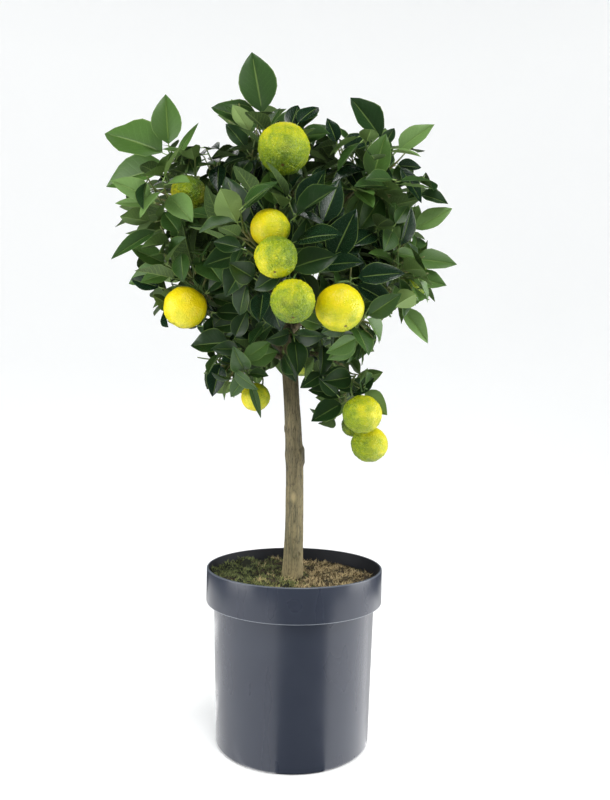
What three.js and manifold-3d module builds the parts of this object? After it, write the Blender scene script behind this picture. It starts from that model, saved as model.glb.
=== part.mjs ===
// A sweet lime tree trained as a standard, standing in a round nursery pot.
// Millimetres, +Z up, seen from the front along +Y.
// The origin is the middle of the pot's flat underside.

import * as THREE from 'three';
import { mergeVertices } from 'three/addons/utils/BufferGeometryUtils.js';
import Module from 'manifold-3d';

const wasm = await Module();
wasm.setup();

// Driving dimensions of the pot
const POT_HEIGHT = 207;
const RIM_RADIUS = 105;
const COLLAR_HEIGHT = 40;
const BODY_TOP_RADIUS = 97;
const BODY_FOOT_RADIUS = 91;
const FOOT_ROUND = 4;
const COLLAR_ROUND = 1.5;
const WALL = 3;

// Driving dimensions of what fills it
const SOIL_LEVEL = 188;
const MOSS_HEIGHT = 5;
const MOSS_LEFT_RISE = 3;
const MOSS_WAVE = 1.6;

// Driving dimensions of the tree
const CROWN_HEART = new THREE.Vector3(-14, 0, 589);
const TRUNK_FOOT_RADIUS = 11.8;
const TRUNK_TOP_RADIUS = 9.2;
const TRUNK_FLARE = 2.4;
const TRUNK_FLARE_FADE = 22;
const TRUNK_KNOT = { at: 0.52, swell: 0.9, width: 0.03 };
const TRUNK_FORK = { at: 0.95, swell: 1.2, width: 0.05 };
const TRUNK_COURSE = [[-2.6, 0, SOIL_LEVEL], [-1, 0, 272], [-2.4, 1, 337], [-8.5, 0, 431], [-13.6, 0, 482]];

// Clearances, and how far from a fruit its open side is kept free of leaves
const FIT_GAP = 0.35;
const CUT_GAP = 0.4;
const CELL_GAP = 0.35;
const LEAF_TO_LIMB = 3.6;
const LEAF_TO_FRUIT = 2.5;
const LEAF_TO_LEAF = 0.8;
const FRUIT_VIEW = 70;
const FRUIT_VIEW_SHARE = 0.9;
const MERGE_TOLERANCE = 0.08;
const WELD_TOLERANCE = 1e-4;

// Proportions of a leaf, as shares of its length
const LEAF_WIDTH = 0.6;
const LEAF_THICKNESS = 0.02;
const LEAF_FOLD = 0.22;
const LEAF_BEND = 0.16;
const LEAF_RIDGE = 0.45;
const LEAF_SHOULDER = 0.42;
const LEAF_NEAR = 0.62;

// How a leaf sits on its twig
const LEAF_DROOP = 0.12;
const ROOT_SINK = 0.4;
const ROOT_FREE = 9;

// Growth of the foliage
const LEAF_LENGTH = 72;
const LEAF_LENGTH_SPAN = [0.82, 1.16];
const LEAF_OVERREACH = 1.08;
const ELBOW_ROOM = 0.16;
const REAIMS = 14;
const STEM_RADII = [2.4, 1.7];
const SHOOT_RADII = [1.7, 1.1];
const STALK_RADII = [1.4, 1.2];
const STEM_DEPTH = 0.9;
const STEM_HEADING = 0.45;
const SHOOT_ROOTS = [0.55, 0.8, 0.3, 0.94];
const SHOOT_SAG = 0.12;
const SHOOT_HEADINGS = 80;
const SHOOT_DEPTHS = [0.2, 0.62];
const SHOOT_SPACING = 24;
const INWARD_LIMIT = -0.6;

// The leaves of a shoot from its tip down: how far along it they root, and their spread from it
const WHORL_SHARES = [0.95, 0.87, 0.77, 0.66, 0.54, 0.41, 0.28];
const WHORL_SPREADS = [8, 38, 48, 56, 62, 68, 74];
const WHORL_REAIM = { spread: 7, turn: 0.9, shorter: 0.03 };
const WHORL_LIGHT = { outward: 0.7, up: 0.6, tangent: 0.5 };
const WHORL_ROOT_ROWS = 2;

// The leaves of a leader's fan
const FAN_ROOT = 0.97;
const FAN_ROOT_STEP = 0.05;
const FAN_LEANS = [-0.2, 0.14];
const FAN_STRETCH = 1.06;
const FAN_REAIM = { clock: 7, lean: 0.4 };
const FAN_LIGHT_UP = 0.45;
const FAN_ROOT_ROWS = 4;

// The stalk of a fruit: how it stands over the fruit, and where it may leave a twig
const STALK_TILT = { inward: 0.55, up: 0.85 };
const STALK_SINK = 2.5;
const STALK_RISE = 12;
const STALK_ROOTS = [0.3, 0.45, 0.6, 0.75, 0.9];
const FRUIT_FLATNESS = 0.97;

// Sides and rings of the solids
const POT_SIDES = 32;
const MOSS_SIDES = 24;
const TRUNK_SIDES = 12;
const TRUNK_RINGS = 13;
const BOUGH_SIDES = 6;
const BOUGH_RINGS = 3;
const TWIG_SIDES = 3;
const STEM_RINGS = 4;
const SHOOT_RINGS = 2;
const STALK_RINGS = 3;

const GOLDEN_ANGLE = Math.PI * (3 - Math.sqrt(5));
const UP = new THREE.Vector3(0, 0, 1);
const FRONT = new THREE.Vector3(0, -1, 0);

// Each bough leaves its parent at a share of the parent's length and ends in its foliage.
// rise lifts the control point of its course above the straight line.
const BOUGHS = [
  { name: 'bough_top', parent: 'trunk', at: 1, tip: [-34, -2, 656], rise: 14, radii: [6.6, 3.2] },
  { name: 'bough_front', parent: 'trunk', at: 0.955, tip: [-20, -58, 536], rise: -8, radii: [4.6, 3.0] },
  { name: 'bough_left', parent: 'trunk', at: 0.935, tip: [-88, -16, 516], rise: 6, radii: [5.2, 3.0] },
  { name: 'bough_right', parent: 'trunk', at: 0.965, tip: [72, -6, 540], rise: -6, radii: [5.2, 3.0] },
  { name: 'bough_back_low', parent: 'trunk', at: 0.95, tip: [-4, 56, 516], rise: 4, radii: [4.8, 2.8] },
  { name: 'bough_hanging_right', parent: 'trunk', at: 0.925, tip: [47, -20, 453], rise: 12, radii: [3.8, 2.4] },
  { name: 'bough_low_left', parent: 'trunk', at: 0.9, tip: [-52, -22, 466], rise: 4, radii: [3.4, 2.4] },
  { name: 'bough_upper_left', parent: 'bough_top', at: 0.22, tip: [-92, -12, 616], rise: -12, radii: [4.4, 2.8] },
  { name: 'bough_upper_right', parent: 'bough_top', at: 0.36, tip: [46, -8, 636], rise: -12, radii: [4.2, 2.8] },
  { name: 'bough_back_top', parent: 'bough_top', at: 0.5, tip: [-14, 44, 638], rise: -8, radii: [3.8, 2.6] },
  { name: 'bough_low_right', parent: 'bough_right', at: 0.3, tip: [42, -40, 504], rise: -4, radii: [3.4, 2.4] },
  { name: 'bough_back_left', parent: 'bough_back_low', at: 0.4, tip: [-58, 66, 536], rise: 0, radii: [3.6, 2.6] },
  { name: 'bough_back_right', parent: 'bough_back_low', at: 0.55, tip: [48, 68, 540], rise: 0, radii: [3.6, 2.6] },
];

// Each mass of foliage grows from the tip of the bough of its own name, round its own centre.
// reach is how far its leaves go from that centre along X, Y and Z.
const MASSES = [
  { name: 'top', centre: [-46, -8, 714], reach: [86, 86, 84], shoots: 7, seed: 11 },
  { name: 'upper_left', centre: [-140, -18, 656], reach: [92, 88, 92], shoots: 7, seed: 12 },
  { name: 'left', centre: [-134, -16, 549], reach: [84, 98, 84], shoots: 7, seed: 24 },
  { name: 'low_left', centre: [-78, -22, 450], reach: [62, 60, 58], shoots: 6, seed: 14 },
  { name: 'front', centre: [-26, -96, 579], reach: [92, 80, 96], shoots: 7, seed: 15 },
  { name: 'upper_right', centre: [86, -18, 676], reach: [86, 88, 84], shoots: 7, seed: 16 },
  { name: 'right', centre: [120, -12, 572], reach: [74, 98, 84], shoots: 7, seed: 17 },
  { name: 'low_right', centre: [62, -72, 509], reach: [76, 74, 66], shoots: 7, seed: 18 },
  { name: 'hanging_right', centre: [58, -24, 418], reach: [52, 50, 54], shoots: 4, seed: 19 },
  { name: 'back_top', centre: [-10, 84, 684], reach: [92, 84, 84], shoots: 7, seed: 20 },
  { name: 'back_left', centre: [-108, 84, 592], reach: [92, 88, 88], shoots: 7, seed: 21 },
  { name: 'back_right', centre: [92, 86, 596], reach: [88, 88, 88], shoots: 7, seed: 22 },
  { name: 'back_low', centre: [-8, 88, 492], reach: [104, 80, 74], shoots: 7, seed: 23 },
];

// The shoots that draw the crown's outline from the front: where each one ends, and its
// fan of leaves as [clock angle in degrees, clockwise from straight up, leaf length].
const LEADERS = [
  { mass: 'top', tip: [-42, -20, 736], fan: [[-12, 78], [-74, 66], [-44, 60], [24, 36], [60, 56]] },
  { mass: 'top', tip: [-60, -44, 690], fan: [[-70, 44], [-120, 40], [-40, 50]] },
  { mass: 'top', tip: [-4, -30, 712], fan: [[4, 44], [-26, 40], [40, 36]] },
  { mass: 'upper_left', tip: [-154, -30, 672], fan: [[-5, 88], [-52, 92], [-96, 74], [30, 60]] },
  { mass: 'upper_left', tip: [-168, -36, 622], fan: [[-66, 52], [-100, 56], [-134, 60]] },
  { mass: 'left', tip: [-152, -30, 562], fan: [[-80, 40], [-104, 46], [-128, 44]] },
  { mass: 'left', tip: [-148, -36, 594], fan: [[-104, 64], [-122, 50], [78, 48], [108, 48]] },
  { mass: 'left', tip: [-100, -34, 506], fan: [[96, 44], [150, 40]] },
  { mass: 'low_left', tip: [-74, -44, 474], fan: [[16, 36], [-100, 40]] },
  { mass: 'low_left', tip: [-90, -25, 452], fan: [[-168, 50], [-140, 44]] },
  { mass: 'upper_right', tip: [90, -18, 698], fan: [[-28, 74], [50, 72], [6, 58]] },
  { mass: 'upper_right', tip: [42, -40, 702], fan: [[-16, 50], [60, 40]] },
  { mass: 'upper_right', tip: [80, -48, 652], fan: [[8, 62]] },
  { mass: 'upper_right', tip: [116, -36, 652], fan: [[76, 50], [20, 50], [-66, 50]] },
  { mass: 'right', tip: [130, -22, 612], fan: [[54, 54], [80, 50], [104, 46], [-60, 44]] },
  { mass: 'right', tip: [122, -22, 552], fan: [[84, 56], [104, 50], [128, 70]] },
  { mass: 'low_right', tip: [84, -40, 496], fan: [[-160, 48], [176, 40]] },
  { mass: 'low_right', tip: [56, -106, 538], fan: [[62, 60], [100, 58]] },
  { mass: 'hanging_right', tip: [58, -30, 418], fan: [[-96, 46], [-126, 54], [60, 42], [-40, 40]] },
  { mass: 'front', tip: [22, -88, 560], fan: [[20, 52], [60, 56], [106, 48], [150, 40]] },
  { mass: 'front', tip: [-52, -104, 564], fan: [[-106, 50], [-146, 52]] },
];

// Every fruit: its mass, its centre and its radius
const FRUITS = [
  { mass: 'top', centre: [-17.6, -95, 677], radius: 28 },
  { mass: 'upper_left', centre: [-127, -48, 641], radius: 20, veiled: true },
  { mass: 'front', centre: [-30, -116, 586], radius: 20.8 },
  { mass: 'front', centre: [-22, -147, 550], radius: 21.6 },
  { mass: 'front', centre: [-4.3, -150, 505.5], radius: 22.5 },
  { mass: 'low_right', centre: [44, -124, 503], radius: 25.4 },
  { mass: 'left', centre: [-127, -60, 509], radius: 24.2 },
  { mass: 'low_left', centre: [-48.5, -26, 409.6], radius: 17, veiled: true },
  { mass: 'hanging_right', centre: [74, -58, 392], radius: 22.3 },
  { mass: 'hanging_right', centre: [86, -22, 356], radius: 21.6 },
  { mass: 'hanging_right', centre: [62, -8, 376], radius: 14.5 },
  { mass: 'right', centre: [146, 42, 560], radius: 21 },
  { mass: 'back_left', centre: [-142, 92, 544], radius: 22 },
  { mass: 'back_left', centre: [-66, 152, 576], radius: 23 },
  { mass: 'back_right', centre: [64, 158, 552], radius: 24 },
  { mass: 'back_right', centre: [84, 120, 616], radius: 19 },
  { mass: 'back_top', centre: [-6, 142, 680], radius: 24 },
  { mass: 'back_low', centre: [6, 122, 436], radius: 21 },
];

const COLOURS = {
  pot: 0x3d4350,
  soil: 0x3b2c1e,
  moss: 0x6f7338,
  bark: 0x7d745c,
  foliage: 0x35592b,
};

// Small helpers

const vec = (triple) => new THREE.Vector3(...triple);
const lerp = THREE.MathUtils.lerp;
const radians = THREE.MathUtils.degToRad;

// The same stream of numbers between 0 and 1 for the same seed
function seededStream(seed) {
  let state = seed >>> 0;
  return () => {
    state = (state + 0x6d2b79f5) >>> 0;
    let mixed = Math.imul(state ^ (state >>> 15), state | 1);
    mixed = (mixed + Math.imul(mixed ^ (mixed >>> 7), mixed | 61)) ^ mixed;
    return ((mixed ^ (mixed >>> 14)) >>> 0) / 2 ** 32;
  };
}

// What is left of a vector at right angles to an axis, at unit length
function squareTo(vector, axis) {
  const square = vector.clone().addScaledVector(axis, -vector.dot(axis));
  return square.normalize();
}

// Solids: joined and cut as closed meshes

function toSolid(geometry) {
  const bare = geometry.clone();
  bare.deleteAttribute('normal');
  bare.deleteAttribute('uv');
  const merged = mergeVertices(bare, WELD_TOLERANCE);
  const mesh = new wasm.Mesh({
    numProp: 3,
    vertProperties: new Float32Array(merged.attributes.position.array),
    triVerts: new Uint32Array(merged.index.array),
  });
  return new wasm.Manifold(mesh);
}

function toGeometry(solid) {
  const mesh = solid.getMesh();
  const geometry = new THREE.BufferGeometry();
  geometry.setAttribute('position', new THREE.BufferAttribute(new Float32Array(mesh.vertProperties), 3));
  geometry.setIndex(new THREE.BufferAttribute(new Uint32Array(mesh.triVerts), 1));
  geometry.computeVertexNormals();
  return geometry;
}

// Loose scraps and sealed hollows fall away, and the largest body stays
function largestBody(solid) {
  const bodies = solid.decompose();
  return bodies.reduce((largest, body) => (body.volume() > largest.volume() ? body : largest));
}

// The pot, one turned wall with a wide collar

function potGeometry() {
  const collarFoot = POT_HEIGHT - COLLAR_HEIGHT;
  const innerRim = RIM_RADIUS - WALL;
  const profile = [
    [0, 0],
    [BODY_FOOT_RADIUS - FOOT_ROUND, 0],
    [BODY_FOOT_RADIUS - FOOT_ROUND * 0.3, FOOT_ROUND * 0.3],
    [BODY_FOOT_RADIUS, FOOT_ROUND],
    [BODY_TOP_RADIUS, collarFoot],
    [RIM_RADIUS - COLLAR_ROUND, collarFoot],
    [RIM_RADIUS, collarFoot + COLLAR_ROUND],
    [RIM_RADIUS, POT_HEIGHT - COLLAR_ROUND],
    [RIM_RADIUS - WALL * 0.3, POT_HEIGHT],
    [innerRim + WALL * 0.3, POT_HEIGHT],
    [innerRim, POT_HEIGHT - COLLAR_ROUND],
    [innerRim, collarFoot + WALL],
    [BODY_TOP_RADIUS - WALL, collarFoot],
    [BODY_FOOT_RADIUS - WALL, WALL],
    [0, WALL],
  ];
  const points = profile.map(([radius, height]) => new THREE.Vector2(radius, height));
  const geometry = new THREE.LatheGeometry(points, POT_SIDES);
  return geometry.rotateX(Math.PI / 2);
}

// The root ball that fills the pot, a little clear of its wall

function soilGeometry() {
  const collarFoot = POT_HEIGHT - COLLAR_HEIGHT;
  const floor = WALL + FIT_GAP;
  const profile = [
    [0, floor],
    [BODY_FOOT_RADIUS - WALL - FIT_GAP * 2, floor],
    [BODY_TOP_RADIUS - WALL - FIT_GAP * 2, collarFoot],
    [RIM_RADIUS - WALL - FIT_GAP * 2, collarFoot + WALL + FIT_GAP * 2],
    [RIM_RADIUS - WALL - FIT_GAP * 2, SOIL_LEVEL],
    [0, SOIL_LEVEL],
  ];
  const points = profile.map(([radius, height]) => new THREE.Vector2(radius, height));
  const geometry = new THREE.LatheGeometry(points, POT_SIDES);
  return geometry.rotateX(Math.PI / 2);
}

// The layer of moss over the soil, in mounds that stand higher on the left

function mossMound(x, y) {
  const leftness = THREE.MathUtils.smoothstep(-x, -40, 90);
  const waves = Math.sin(x * 0.11 + 1.3) * Math.cos(y * 0.13 - 0.4) + 0.6 * Math.sin(x * 0.23 - y * 0.19);
  return MOSS_HEIGHT + MOSS_LEFT_RISE * leftness + MOSS_WAVE * waves;
}

function mossGeometry() {
  const outer = RIM_RADIUS - WALL - FIT_GAP * 2;
  const rings = [0.95, 0.78, 0.58, 0.38, 0.2, 0];
  const bottom = SOIL_LEVEL + FIT_GAP;
  const crest = bottom + MOSS_HEIGHT;
  const profile = [
    [0, bottom],
    [outer, bottom],
    [outer, bottom + MOSS_HEIGHT * 0.4],
    ...rings.map((share) => [outer * share, crest]),
  ];
  const points = profile.map(([radius, height]) => new THREE.Vector2(radius, height));
  const geometry = new THREE.LatheGeometry(points, MOSS_SIDES).rotateX(Math.PI / 2);
  const places = geometry.attributes.position;
  for (let i = 0; i < places.count; i += 1) {
    if (places.getZ(i) > crest - 0.01) {
      places.setZ(i, bottom + mossMound(places.getX(i), places.getY(i)));
    }
  }
  return geometry;
}

// Limbs and twigs: a bar bent along a curve, its radius from a function of the share of
// its length

function limbGeometry(limb, grow = 0) {
  const { curve, radiusAt, sides, rings } = limb;
  const geometry = new THREE.CylinderGeometry(1, 1, 1, sides, rings);
  const frames = curve.computeFrenetFrames(rings, false);
  const places = geometry.attributes.position;
  for (let i = 0; i < places.count; i += 1) {
    const share = places.getY(i) + 0.5;
    const ring = Math.round(share * rings);
    const spot = curve.getPointAt(ring / rings);
    const radius = radiusAt(ring / rings) + grow;
    spot.addScaledVector(frames.normals[ring], places.getX(i) * radius);
    spot.addScaledVector(frames.binormals[ring], -places.getZ(i) * radius);
    if (ring === 0) spot.addScaledVector(frames.tangents[0], -grow);
    if (ring === rings) spot.addScaledVector(frames.tangents[rings], grow);
    places.setXYZ(i, spot.x, spot.y, spot.z);
  }
  return geometry;
}

// A place on the straight lengths of a twig, at a share of its course
function twigPoint(twig, share) {
  const ring = Math.min(Math.floor(share * twig.rings), twig.rings - 1);
  const from = twig.curve.getPointAt(ring / twig.rings);
  const to = twig.curve.getPointAt((ring + 1) / twig.rings);
  return from.lerp(to, share * twig.rings - ring);
}

function trunkLimb() {
  const course = TRUNK_COURSE.map(vec);
  course[0].z += FIT_GAP;
  const swelling = (share, bump) => bump.swell * Math.exp(-(((share - bump.at) / bump.width) ** 2));
  return {
    name: 'trunk',
    curve: new THREE.CatmullRomCurve3(course),
    radiusAt: (share) => {
      const taper = lerp(TRUNK_FOOT_RADIUS, TRUNK_TOP_RADIUS, share);
      const flare = TRUNK_FLARE * Math.exp(-share * TRUNK_FLARE_FADE);
      return taper + flare + swelling(share, TRUNK_KNOT) + swelling(share, TRUNK_FORK);
    },
    sides: TRUNK_SIDES,
    rings: TRUNK_RINGS,
  };
}

// A bar that tapers evenly from the first radius to the last
function taperedBar(curve, radii, sides, rings) {
  return { curve, radiusAt: (share) => lerp(radii[0], radii[1], share), sides, rings };
}

function boughLimb(spec, limbs) {
  const parent = limbs.find((limb) => limb.name === spec.parent);
  const start = parent.curve.getPointAt(spec.at);
  if (spec.at === 1) start.addScaledVector(parent.curve.getTangentAt(1), FIT_GAP);
  const tip = vec(spec.tip);
  const middle = start.clone().lerp(tip, 0.5);
  middle.z += spec.rise;
  const curve = new THREE.QuadraticBezierCurve3(start, middle, tip);
  return { name: spec.name, ...taperedBar(curve, spec.radii, BOUGH_SIDES, BOUGH_RINGS) };
}

function growLimbs() {
  const limbs = [trunkLimb()];
  for (const spec of BOUGHS) limbs.push(boughLimb(spec, limbs));
  return limbs;
}

// Points along every limb, for keeping twigs and leaves clear of them
function limbStations(limbs) {
  const step = 5;
  return limbs.flatMap((limb) => {
    const count = Math.ceil(limb.curve.getLength() / step);
    return Array.from({ length: count + 1 }, (_, i) => ({
      limb: limb.name,
      spot: limb.curve.getPointAt(i / count),
      radius: limb.radiusAt(i / count),
    }));
  });
}

// Space: each mass keeps to the side of every neighbour's plane that faces its own centre

function cellMargin(mass, point) {
  const own = vec(mass.centre);
  const ownRadius = Math.max(...mass.reach);
  let margin = Infinity;
  for (const other of MASSES) {
    if (other === mass) continue;
    const centre = vec(other.centre);
    const otherRadius = Math.max(...other.reach);
    const power = point.distanceToSquared(centre) - otherRadius ** 2;
    const ownPower = point.distanceToSquared(own) - ownRadius ** 2;
    margin = Math.min(margin, (power - ownPower) / (2 * own.distanceTo(centre)));
  }
  return margin;
}

// Leaves: a folded blade with a pointed outline, its root at base and its upper face
// towards normal

const bladeOutline = (along) => Math.sin(Math.PI * along ** 0.8) ** 0.85;

function makeLeaf(base, heading, light, length) {
  const direction = heading.clone().normalize();
  const normal = squareTo(light, direction);
  const side = new THREE.Vector3().crossVectors(direction, normal);
  const leaf = { base, direction, normal, side, length, halfWidth: length * LEAF_WIDTH * 0.5 };
  leaf.middle = bladePoint(leaf, 0.5, 0);
  return leaf;
}

// The height of the blade's middle surface over its flat plane: edges fold up, the tip bends down
function bladeRise(leaf, along, across) {
  const fold = Math.abs(across) * bladeOutline(along) * leaf.halfWidth * LEAF_FOLD * 2;
  return fold - LEAF_BEND * leaf.length * along * along;
}

// A place on the blade: along is 0 at the root and 1 at the tip, across is -1 to 1 at the outline
function bladePoint(leaf, along, across, lift = 0) {
  return leaf.base.clone()
    .addScaledVector(leaf.direction, along * leaf.length)
    .addScaledVector(leaf.side, across * bladeOutline(along) * leaf.halfWidth)
    .addScaledVector(leaf.normal, lift + bladeRise(leaf, along, across));
}

// How high a point stands over the blade, or null where it stands beside it
function heightOver(leaf, point) {
  const from = point.clone().sub(leaf.base);
  const along = from.dot(leaf.direction) / leaf.length;
  if (along <= 0 || along >= 1) return null;
  const across = from.dot(leaf.side) / (bladeOutline(along) * leaf.halfWidth);
  if (Math.abs(across) >= 1) return null;
  return from.dot(leaf.normal) - bladeRise(leaf, along, across);
}

// Whether a line of points touches the blade or passes through it
function lineMeetsBlade(line, leaf) {
  let last = 0;
  for (const point of line) {
    const height = heightOver(leaf, point);
    if (height === null) {
      last = 0;
      continue;
    }
    if (Math.abs(height) < LEAF_TO_LEAF || last * height < 0) return true;
    last = height;
  }
  return false;
}

function leafGeometry(leaf) {
  const geometry = new THREE.SphereGeometry(1, 6, 2);
  const places = geometry.attributes.position;
  const thickness = LEAF_THICKNESS * leaf.length;
  for (let i = 0; i < places.count; i += 1) {
    const [x, y, z] = [places.getX(i), places.getY(i), places.getZ(i)];
    const atRidge = Math.abs(y) > 0.5;
    const atEnd = Math.abs(x) > 0.9;
    const along = atRidge ? LEAF_RIDGE : 0.5 + x * (atEnd ? 0.5 : LEAF_SHOULDER);
    const across = atRidge || atEnd ? 0 : Math.sign(z);
    const spot = bladePoint(leaf, along, across, atRidge ? Math.sign(y) * thickness * 0.5 : 0);
    places.setXYZ(i, spot.x, spot.y, spot.z);
  }
  return geometry;
}

// The blade as rows of points, and the lines along and across it
function bladeGrid(leaf, rootRows) {
  const rows = [];
  for (let i = 0; i <= 10; i += 1) {
    rows.push([-1, -0.5, 0, 0.5, 1].map((across) => bladePoint(leaf, i / 10, across)));
  }
  const clearOfRoot = rows.slice(rootRows);
  const lines = [0, 2, 4].map((column) => clearOfRoot.map((row) => row[column]));
  return { rows, lines: [...lines, rows[rootRows + 1], rows[7]] };
}

// The side on which a fruit hangs open to view: the front, or away from the heart at the back
function openSide(fruit) {
  if (fruit.centre[1] < 0) return FRONT;
  return vec(fruit.centre).sub(CROWN_HEART).setZ(0).normalize();
}

function hidesFruit(point, fruit) {
  const from = point.clone().sub(vec(fruit.centre));
  const ahead = THREE.MathUtils.clamp(from.dot(openSide(fruit)), 0, fruit.veiled ? 0 : FRUIT_VIEW);
  const radius = ahead > 0 ? fruit.radius * FRUIT_VIEW_SHARE : fruit.radius;
  return from.addScaledVector(openSide(fruit), -ahead).length() < radius + LEAF_TO_FRUIT;
}

// A leaf is kept only where it stays in its mass's space and clear of limbs, fruits,
// twigs and other leaves
function leafFits(leaf, mass, stations, grown, rootRows) {
  const { rows, lines } = bladeGrid(leaf, rootRows);
  const spots = rows.flat();
  if (spots.some((spot) => cellMargin(mass, spot) < CELL_GAP + 1)) return false;
  const near = (spot, radius) => leaf.middle.distanceTo(spot) < LEAF_NEAR * leaf.length + radius;
  const limbsNear = stations.filter((station) => near(station.spot, station.radius + LEAF_TO_LIMB));
  const meetsLimb = (spot) => limbsNear.some((s) => s.spot.distanceTo(spot) < s.radius + LEAF_TO_LIMB);
  if (spots.some(meetsLimb)) return false;
  if (spots.some((spot) => FRUITS.some((fruit) => hidesFruit(spot, fruit)))) return false;
  for (const line of grown.twigLines) {
    const away = line.filter((spot) => near(spot, 0) && spot.distanceTo(leaf.base) > ROOT_FREE);
    if (lineMeetsBlade(away, leaf)) return false;
  }
  for (const other of grown.leaves) {
    const apart = leaf.middle.distanceTo(other.middle);
    if (apart < ELBOW_ROOM * leaf.length) return false;
    if (apart > LEAF_NEAR * (leaf.length + other.length)) continue;
    if (lines.some((line) => lineMeetsBlade(line, other))) return false;
    if (other.lines.some((line) => lineMeetsBlade(line, leaf))) return false;
  }
  leaf.lines = lines;
  return true;
}

// Twigs

function pointsAlong(curve, step) {
  const count = Math.ceil(curve.getLength() / step);
  return Array.from({ length: count + 1 }, (_, i) => curve.getPointAt(i / count));
}

function twigFits(curve, radius, mass, stations, rootLength = 3) {
  const spots = pointsAlong(curve, 4);
  const beyondRoot = spots.filter((spot) => spot.distanceTo(spots[0]) > rootLength);
  if (spots.some((spot) => cellMargin(mass, spot) < radius + CELL_GAP)) return false;
  const reach = radius + LEAF_TO_LIMB;
  const meetsLimb = (spot) => stations.some((s) => s.spot.distanceTo(spot) < s.radius + reach);
  if (beyondRoot.some(meetsLimb)) return false;
  const meetsFruit = (spot) => FRUITS.some((f) => vec(f.centre).distanceTo(spot) < f.radius + radius + 1);
  return !beyondRoot.some(meetsFruit);
}

// A shoot leaves the stem low and turns up towards its tip
function shootCurve(start, tip) {
  const middle = start.clone().lerp(tip, 0.55);
  middle.z -= SHOOT_SAG * start.distanceTo(tip);
  return new THREE.QuadraticBezierCurve3(start, middle, tip);
}

// The stem runs on from the bough's tip to the middle of the mass
function stemCurve(mass, limbs) {
  const bough = limbs.find((limb) => limb.name === `bough_${mass.name}`);
  const heading = bough.curve.getTangentAt(1);
  const start = bough.curve.getPointAt(1).addScaledVector(heading, FIT_GAP);
  const end = start.clone().lerp(vec(mass.centre), STEM_DEPTH);
  const middle = start.clone().addScaledVector(heading, STEM_HEADING * start.distanceTo(end));
  return new THREE.QuadraticBezierCurve3(start, middle, end);
}

// A leaf of a leader, placed by its clock angle in the front view
function fanLeaf(shoot, index, [clock, length], trial) {
  const sway = FAN_REAIM.clock * Math.ceil(trial / 2);
  const angle = radians(trial % 2 ? clock + sway : clock - sway);
  const lean = FAN_LEANS[index % 2] * (1 + FAN_REAIM.lean * trial);
  const heading = new THREE.Vector3(Math.sin(angle), lean, Math.cos(angle)).normalize();
  const light = FRONT.clone().addScaledVector(UP, FAN_LIGHT_UP);
  const root = twigPoint(shoot, FAN_ROOT - FAN_ROOT_STEP * index).addScaledVector(heading, -ROOT_SINK);
  return makeLeaf(root, heading, light, length * FAN_STRETCH + ROOT_SINK);
}

// A leaf of any shoot, placed by its turn round the shoot
function whorlLeaf(shoot, index, length, trial) {
  const share = WHORL_SHARES[index];
  const spread = radians(WHORL_SPREADS[index] + WHORL_REAIM.spread * trial);
  const tangent = shoot.curve.getTangentAt(share);
  const around = shoot.phase + index * GOLDEN_ANGLE + WHORL_REAIM.turn * trial;
  const sideways = squareTo(Math.abs(tangent.z) > 0.9 ? FRONT : UP, tangent);
  const crossways = new THREE.Vector3().crossVectors(tangent, sideways);
  const heading = tangent.clone().multiplyScalar(Math.cos(spread))
    .addScaledVector(sideways, Math.sin(spread) * Math.cos(around))
    .addScaledVector(crossways, Math.sin(spread) * Math.sin(around));
  heading.z -= LEAF_DROOP;
  heading.normalize();
  const root = twigPoint(shoot, share);
  const light = root.clone().sub(CROWN_HEART).normalize().multiplyScalar(WHORL_LIGHT.outward);
  light.addScaledVector(UP, WHORL_LIGHT.up).addScaledVector(tangent, WHORL_LIGHT.tangent);
  const reaimed = length * (1 - WHORL_REAIM.shorter * trial);
  return makeLeaf(root.addScaledVector(heading, -ROOT_SINK), heading, light, reaimed);
}

// Growth of one mass: a stem, its shoots, their leaves, and fruits on stalks

function growShoots(mass, stem, stations, random) {
  const shoots = [];
  const add = (tip, fan) => {
    for (const share of SHOOT_ROOTS) {
      const curve = shootCurve(twigPoint(stem, share), tip);
      if (twigFits(curve, SHOOT_RADII[0], mass, stations)) {
        shoots.push({ tip, fan, ...taperedBar(curve, SHOOT_RADII, TWIG_SIDES, SHOOT_RINGS) });
        return true;
      }
    }
    return false;
  };
  for (const leader of LEADERS.filter((row) => row.mass === mass.name)) {
    add(vec(leader.tip), leader.fan);
  }
  const centre = vec(mass.centre);
  const outward = centre.clone().sub(CROWN_HEART).normalize();
  const turn = random() * 2 * Math.PI;
  let added = 0;
  for (let k = 0; k < SHOOT_HEADINGS && added < mass.shoots; k += 1) {
    const height = 1 - (2 * ((k * 7) % SHOOT_HEADINGS) + 1) / SHOOT_HEADINGS;
    const flat = Math.sqrt(1 - height * height);
    const angle = turn + k * GOLDEN_ANGLE;
    const heading = new THREE.Vector3(flat * Math.cos(angle), flat * Math.sin(angle), height);
    const depth = lerp(SHOOT_DEPTHS[0], SHOOT_DEPTHS[1], random());
    if (heading.dot(outward) < INWARD_LIMIT) continue;
    const tip = centre.clone().add(heading.multiply(vec(mass.reach)).multiplyScalar(depth));
    if (shoots.some((shoot) => shoot.tip.distanceTo(tip) < SHOOT_SPACING)) continue;
    if (add(tip, [])) added += 1;
  }
  return shoots;
}

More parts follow.
